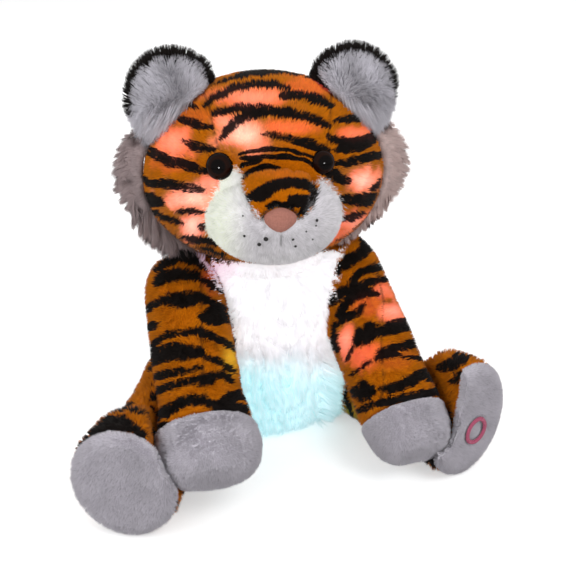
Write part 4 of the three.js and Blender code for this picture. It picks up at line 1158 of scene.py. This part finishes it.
def away_from(place, strength, down=0.0):
    """Combs the pile away from a place."""

    def comb(points, normals):
        out = unit(points - np.array(place))
        out = out - normals * (out * normals).sum(1)[:, None]
        return out * strength + np.array((0, 0, -down))

    return comb


def toward(direction, strength):
    """Combs the pile one way."""
    direction = np.array(direction, dtype=float)

    def comb(points, normals):
        out = direction - normals * (normals @ direction)[:, None]
        return out * strength

    return comb


PAINTS = {
    "torso": paint_torso, "belly_panel": paint_belly, "pocket_flap": paint_flap, "tail": paint_tail,
    "tail_tip": plain, "head": paint_head, "muzzle": paint_muzzle, "nose_bridge": paint_bridge,
    "nose_pad": plain,
}
for side in SIDES:
    PAINTS[f"{side}_arm"] = paint_arm(side)
    PAINTS[f"{side}_leg"] = paint_leg(side)
    for form in ("ruff", "paw", "sole"):
        PAINTS[f"{side}_{form}"] = plain
    PAINTS[f"{side}_ear_back"] = paint_ear_back(side)
    PAINTS[f"{side}_ear_lining"] = paint_lining(side)
for node in PAINTS:
    dress(node)

# Where pile grows, and how
SHORT = 0.0042
NOWHERE = 1e-9  # in place of no chance at all, so that the chances never add up to nothing
HEAD_NEAR = (
    "left_ruff", "right_ruff", "left_ear_back", "right_ear_back", "left_ear_lining",
    "right_ear_lining", "torso",
)
# The eyes' half width, how much of it hides the pile, and how deep the cap is that shows in front
EYE_HALF, EYE_RIM, EYE_CAP = 0.0093, 0.94, 0.006
# Each eye's middle and half width
EYES = {}
for side, narrow, aside in (("left", 0.86, 0.0), ("right", 0.95, -0.003)):
    points, _ = mesh_arrays(nodes[f"{side}_eye"].data)
    front = points @ FACE
    EYES[side] = (points[front > front.max() - EYE_CAP].mean(0) + RIGHT * aside, EYE_HALF * narrow)


def under_eyes(points, normals):
    """Under the rim of an eye, where no pile grows."""
    hidden = np.zeros(len(points), dtype=bool)
    for centre, wide in EYES.values():
        away = points - centre
        away = away - BACK * (away @ BACK)[:, None] * 0.5
        hidden |= lengths(away) < wide * EYE_RIM
    return hidden


def by_lobes(points, rng):
    """Along the white lobes, where the striped pile is cut short."""
    near = np.zeros(len(points), dtype=bool)
    for corners in LOBES:
        near |= inside_patch(points, corners, rng, 3.0)
    return near


def by_ring(points, rng):
    """Where the pile is sewn down round the embroidered ring."""
    return room_to(points, ("left_sole_ring",), 0.003) < 0.0029


def by_paw(side):
    """Shades the rim of the hollow where the paw lies like the flat of the sole."""
    out = np.array(RUNS[f"{side}_leg"])

    def turned(points, normals):
        rim = (normals @ out < 0.8) & (room_to(points, (f"{side}_paw",), 0.010) < 0.0095)
        return np.where(rim[:, None], out, normals)

    return turned


def by_neck(points, normals):
    """Shades the top edge of the belly panel like the chest round it."""
    high = ease(points[:, 2], 0.122, 0.130) * ease(-points[:, 1], 0.02, 0.035)
    return unit(normals + BACK * 1.2 * high[:, None])


def in_brow(points, normals):
    """Between the eyes, where fine lines cross short pile."""
    return inside_patch(points, BROW, np.random.default_rng(8), 0.0) & (facing(normals) > 0.0)


def brow_only(points, normals):
    return in_brow(points, normals) + NOWHERE


def outside_brow(points, normals):
    return under_eyes(points, normals) | ~in_brow(points, normals)


def bald(points, normals):
    """Where the head's own pile doesn't grow."""
    return under_eyes(points, normals) | in_brow(points, normals)


def outside_snout(points, normals):
    return ~in_snout(points, normals)


def front_half(points, normals):
    return np.where(points @ BACK > NECK @ BACK - 0.012, 1.0, 0.0)


def back_half(points, normals):
    return 1.0 - front_half(points, normals)


def belly_side(points, normals):
    """The belly's lower left side, which is fuller than its panel."""
    x, y, z = points.T
    return ease(x, 0.024, 0.034) * ease(-z, -0.085, -0.065) * ease(z, 0.006, 0.014) + NOWHERE


def at_shoulder(points, normals):
    """On top of the arm, beside the head."""
    inside = inside_patch(points, SHOULDER, np.random.default_rng(7), 1.0)
    return (inside & (facing(normals) > -0.3)) + NOWHERE


def off_shoulder(points, normals):
    return at_shoulder(points, normals) < 0.5


def ear_end(points, normals):
    """The lower end of an ear, on its front."""
    return ease(-points[:, 2], -0.258, -0.240) * (normals[:, 1] < 0.3) + NOWHERE


def ruff_end(points, normals):
    """The lower end of a ruff."""
    return ease(-points[:, 2], -0.186, -0.164)


# The battery pocket: half width, front, bottom and top
POCKET = (0.032, 0.008, 0.026, 0.107)


def in_pocket(points, normals):
    """Inside the battery pocket."""
    half, front, bottom, top = POCKET
    x, y, z = points.T
    return (np.abs(x) < half) & (y > front) & (z > bottom) & (z < top) & (normals[:, 1] < 0.5)


def flap_inside(points, normals):
    return normals[:, 1] < 0.1


def ear_behind(points, normals):
    return normals[:, 1] > 0.2


# Name, form, hairs, their length and thickness, seed, comb, and the forms they keep clear of
pile("head_front_pile", "head", 48000, 0.0034, 0.00042, 101, away_from(NOSE, 0.12), HEAD_NEAR, rough=0.18,
     where=front_half, skip=bald, short=by_lobes)
pile("brow_pile", "head", 14000, 0.0022, 0.00036, 112, away_from(NOSE, 0.1), HEAD_NEAR, rough=0.14,
     where=brow_only, skip=outside_brow)
pile("head_back_pile", "head", 23000, SHORT, 0.00050, 102, away_from(NOSE, 0.15), HEAD_NEAR, rough=0.22,
     where=back_half, skip=under_eyes)
pile("bridge_pile", "nose_bridge", 13000, 0.0029, 0.00036, 103, away_from(NOSE, 0.2), rough=0.16,
     skip=under_eyes, short=by_lobes)
pile("snout_pile", "muzzle", 14000, 0.0036, 0.00040, 110, away_from(NOSE, 0.2), ("nose_bridge",),
     paint=paint_bridge, slot=ORANGE, rough=0.18, skip=outside_snout, short=by_lobes)
pile("muzzle_pile", "muzzle", 24000, 0.0036, 0.00034, 104, away_from(NOSE, 0.25, 0.05), ("nose_pad",),
     rough=0.18, clump=0.2, skip=in_snout)
pile("torso_pile", "torso", 31000, SHORT, 0.00050, 105, toward((0, 0, -1), 0.25),
     ("head", "left_arm", "right_arm", "left_leg", "right_leg", "tail", "pocket_flap"), skip=in_pocket,
     shade=by_neck)
pile("belly_pile", "belly_panel", 34000, 0.0060, 0.00036, 106, toward((0, 0, -1), 1.1),
     ("left_arm", "right_arm", "left_leg", "right_leg"), rough=0.12, clump=0.15, shade=by_neck)
pile("belly_fringe", "belly_panel", 6000, 0.0150, 0.00040, 113, toward((0.85, -0.2, -0.5), 2.0),
     rough=0.12, clump=0.15, where=belly_side)
pile("flap_pile", "pocket_flap", 9000, 0.0046, 0.00048, 107, toward((0, 0, -1), 0.4), ("battery_box",),
     skip=flap_inside)
pile("tail_pile", "tail", 9000, 0.0050, 0.00048, 108, None, ("torso", "tail_tip"))
pile("tail_tip_pile", "tail_tip", 3500, 0.0055, 0.00045, 109, None, ("tail",))
pile("shoulder_fringe", "right_arm", 1200, 0.0100, 0.00046, 114, toward((0, 0, 1), 1.5), ("head",),
     where=at_shoulder, skip=off_shoulder)
velvet = {"rough": 0.12, "clump": 0.1, "velvet": True}
MIDDLE_OF_FACE = (0, -0.05, 0.215)
for k, (side, sign, fringe) in enumerate((("left", 1, 0.0100), ("right", -1, 0.0190))):
    arm, paw, leg, sole, lining = (f"{side}_{form}" for form in ("arm", "paw", "leg", "sole", "ear_lining"))
    ear_root = (sign * 0.058, -0.010 + sign * -0.012, 0.235)
    pile(f"{arm}_pile", arm, 24000, SHORT, 0.00044, 120 + k, toward(RUNS[arm], 0.3),
         ("torso", "head", paw, leg, "belly_panel"))
    pile(f"{paw}_pile", paw, 20000, 0.0034, 0.00042, 130 + k, toward(RUNS[arm], 0.2), (arm, leg, sole),
         spare=0.00144, **velvet)
    pile(f"{leg}_pile", leg, 21000, SHORT, 0.00048, 140 + k, toward(RUNS[leg], 0.4),
         ("torso", sole, arm, paw, "tail"))
    pile(f"{sole}_pile", sole, 20000, 0.0034, 0.00042, 150 + k, None, (leg, paw), short=by_ring,
         shade=by_paw(side), **velvet)
    pile(f"{side}_ear_back_pile", f"{side}_ear_back", 7000, 0.0085, 0.00042, 160 + k,
         away_from(ear_root, 0.9), ("head",), hair=LONG_HAIR, rough=0.3)
    pile(f"{lining}_pile", lining, 8000, 0.0095, 0.00042, 170 + k, away_from(ear_root, 0.8), ("head",),
         hair=LONG_HAIR, rough=0.4, clump=0.5, clump_size=22, droop=0.1, skip=ear_behind)
    pile(f"{side}_ruff_pile", f"{side}_ruff", 12000, 0.0140, 0.00048, 180 + k,
         away_from(MIDDLE_OF_FACE, 1.6, 0.15), ("head",), hair=LONG_HAIR, rough=0.35, clump=0.6,
         clump_size=40, droop=0.10)
    pile(f"{side}_ear_fringe", lining, 3000, 0.0150, 0.00046, 200 + k, toward((sign * 0.6, 0.0, -1.0), 2.0),
         paint=plain, hair=LONG_HAIR, rough=0.3, clump=0.4, where=ear_end)
    pile(f"{side}_ruff_fringe", f"{side}_ruff", 6000, fringe, 0.00050, 190 + k,
         toward((sign * 0.30, 0.10, -1.0), 2.2), hair=LONG_HAIR, rough=0.3, clump=0.6, clump_size=50,
         droop=0.05, where=ruff_end)

# Eyes and whisker knots
# How high the whisker knots lie, and how far the eyes' glass rises and is lifted off the cover
KNOT_LIFT, EYE_HEIGHT, EYE_LIFT = 0.0034, 0.0062, 0.0006


def dome(side):
    """A domed eye that sits in the pile, square to the head."""
    name = f"{side}_eye_dome"
    centre, wide = EYES[side]
    near, normal, *_ = covers["head"].tree.find_nearest(Vector(centre))
    front = np.array(normal) * 0.8 + FACE * 0.2
    front /= math.sqrt(front @ front)
    base = np.array(near) + front * EYE_LIFT
    bm = bmesh.new()
    bmesh.ops.create_uvsphere(bm, u_segments=32, v_segments=20, radius=1.0)
    turn = Vector(front).to_track_quat("Z", "Y").to_matrix()
    for corner in bm.verts:
        x, y, z = corner.co
        z = z * EYE_HEIGHT if z > 0 else z * EYE_HEIGHT * 0.25
        corner.co = Vector(base) + turn @ Vector((x * wide, y * wide, z))
    bmesh.ops.recalc_face_normals(bm, faces=bm.faces)
    glass = eye_material(f"{name}_glass", tuple(base + front * EYE_HEIGHT))
    obj = finished(name, from_bmesh(bm, name), "head", glass)
    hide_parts(f"{side}_eye")
    return obj


def whisker_dots():
    """Small dark knots that lie on the muzzle's pile."""
    bm = bmesh.new()
    for x, y, size in DOTS:
        hit, normal, *_ = covers["muzzle"].tree.ray_cast(*sight(x, y))
        if hit is None:
            continue
        made = bmesh.ops.create_uvsphere(bm, u_segments=12, v_segments=8, radius=size)["verts"]
        turn = normal.to_track_quat("Z", "Y").to_matrix()
        for corner in made:
            flat = Vector((corner.co.x, corner.co.y, corner.co.z * 0.5))
            corner.co = hit + normal * KNOT_LIFT + turn @ flat
    finished("whisker_dots", from_bmesh(bm, "whisker_dots"), "head", MATERIALS["knots"])


whisker_dots()
eyes = {side: dome(side) for side in SIDES}

# The hard pieces keep their CAD form; their finish goes by a word in the name, or is dark plastic
FINISHES = {
    "tape": "tape", "battery_cell": "cell", "lead": "wire", "harness": "wire", "lens": "clear_plastic",
    "lamp_board": "board", "control_board": "board", "ring": "rose_thread",
}
for name, node in nodes.items():
    if node.hide_render:
        continue
    chosen = next((finish for word, finish in FINISHES.items() if word in name), "dark_plastic")
    node.data.materials.clear()
    node.data.materials.append(MATERIALS[chosen])

# The floor's colour, how much brighter the camera sees it, the level of the even light, and the lamps' aim
PALE, FLOOR_GLOW, EVEN_LIGHT, LAMP_AIM = (0.86, 0.86, 0.86, 1), 0.45, 0.56, Vector((0, 0, 0.12))


def stage_floor():
    """A pale floor that the camera sees a little brighter."""
    bm = bmesh.new()
    bmesh.ops.create_grid(bm, x_segments=1, y_segments=1, size=6)
    obj = placed("floor", from_bmesh(bm, "floor"))
    material, tree, shader = nodes_of("pale_floor")
    path = tree.nodes.new("ShaderNodeLightPath").outputs
    seen = math_node(tree, "MAXIMUM", path["Is Camera Ray"], path["Is Transmission Ray"])
    glow = math_node(tree, "MULTIPLY", seen, FLOOR_GLOW)
    set_inputs(
        tree, shader, Base_Color=PALE, Roughness=0.9, Emission_Color=(1, 1, 1, 1), Emission_Strength=glow
    )
    obj.data.materials.append(material)


def world_light():
    """Even light from all round, behind which the camera sees white."""
    world = bpy.data.worlds.new("studio")
    bpy.context.scene.world = world
    world.use_nodes = True
    tree = world.node_tree
    path = tree.nodes.new("ShaderNodeLightPath").outputs
    mirrored = math_node(tree, "MAXIMUM", path["Is Glossy Ray"], path["Is Transmission Ray"])
    seen = math_node(tree, "MAXIMUM", path["Is Camera Ray"], mirrored)
    level = math_node(tree, "MULTIPLY_ADD", seen, 1.0 - EVEN_LIGHT, EVEN_LIGHT)
    set_inputs(tree, tree.nodes["Background"], Color=(1, 1, 1, 1), Strength=level)


def soft_lamp(name, place, size, energy, mirrored=False):
    """A lamp for the pile, or one that only the glass eyes mirror."""
    data = bpy.data.lights.new(name, "AREA")
    data.shape, data.size, data.energy = "DISK", size, energy
    obj = placed(name, data)
    obj.location = place
    obj.visible_glossy, obj.visible_diffuse = mirrored, not mirrored
    obj.rotation_mode = "QUATERNION"
    obj.rotation_quaternion = (LAMP_AIM - Vector(place)).to_track_quat("-Z", "Y")
    return obj


def highlight(eye, place):
    """A small lamp that only one eye mirrors."""
    lamp = soft_lamp(f"{eye.name}_lamp", place, 0.12, 8.0, mirrored=True)
    only = bpy.data.collections.new(f"{eye.name}_only")
    only.objects.link(eye)
    lamp.light_linking.receiver_collection = only


stage_floor()
world_light()
soft_lamp("key_lamp", (0.30, -1.05, 1.2), 0.7, 8.0)
soft_lamp("fill_lamp", (-1.1, -0.7, 0.8), 0.9, 6.0)
highlight(eyes["right"], (-0.57, -0.96, 0.345))
highlight(eyes["left"], (0.13, -1.15, 0.38))
soft_lamp("rim_lamp", (0.1, 1.2, 1.0), 0.8, 6.0)

view = bpy.data.cameras.new("front_camera")
view.sensor_width, view.lens = 36.0, FOCAL * 36.0 / PICTURE
view.shift_x = (PICTURE / 2 - MIDDLE[0]) / PICTURE
view.clip_start, view.clip_end = 0.01, 50
camera = placed("front_camera", view)
camera.rotation_mode = "QUATERNION"
camera.location = Vector(AIM + BACK * AWAY)
camera.rotation_quaternion = Vector(-BACK).to_track_quat("-Z", "Y")
scene = bpy.context.scene
scene.camera = camera
scene.view_settings.view_transform = "Standard"
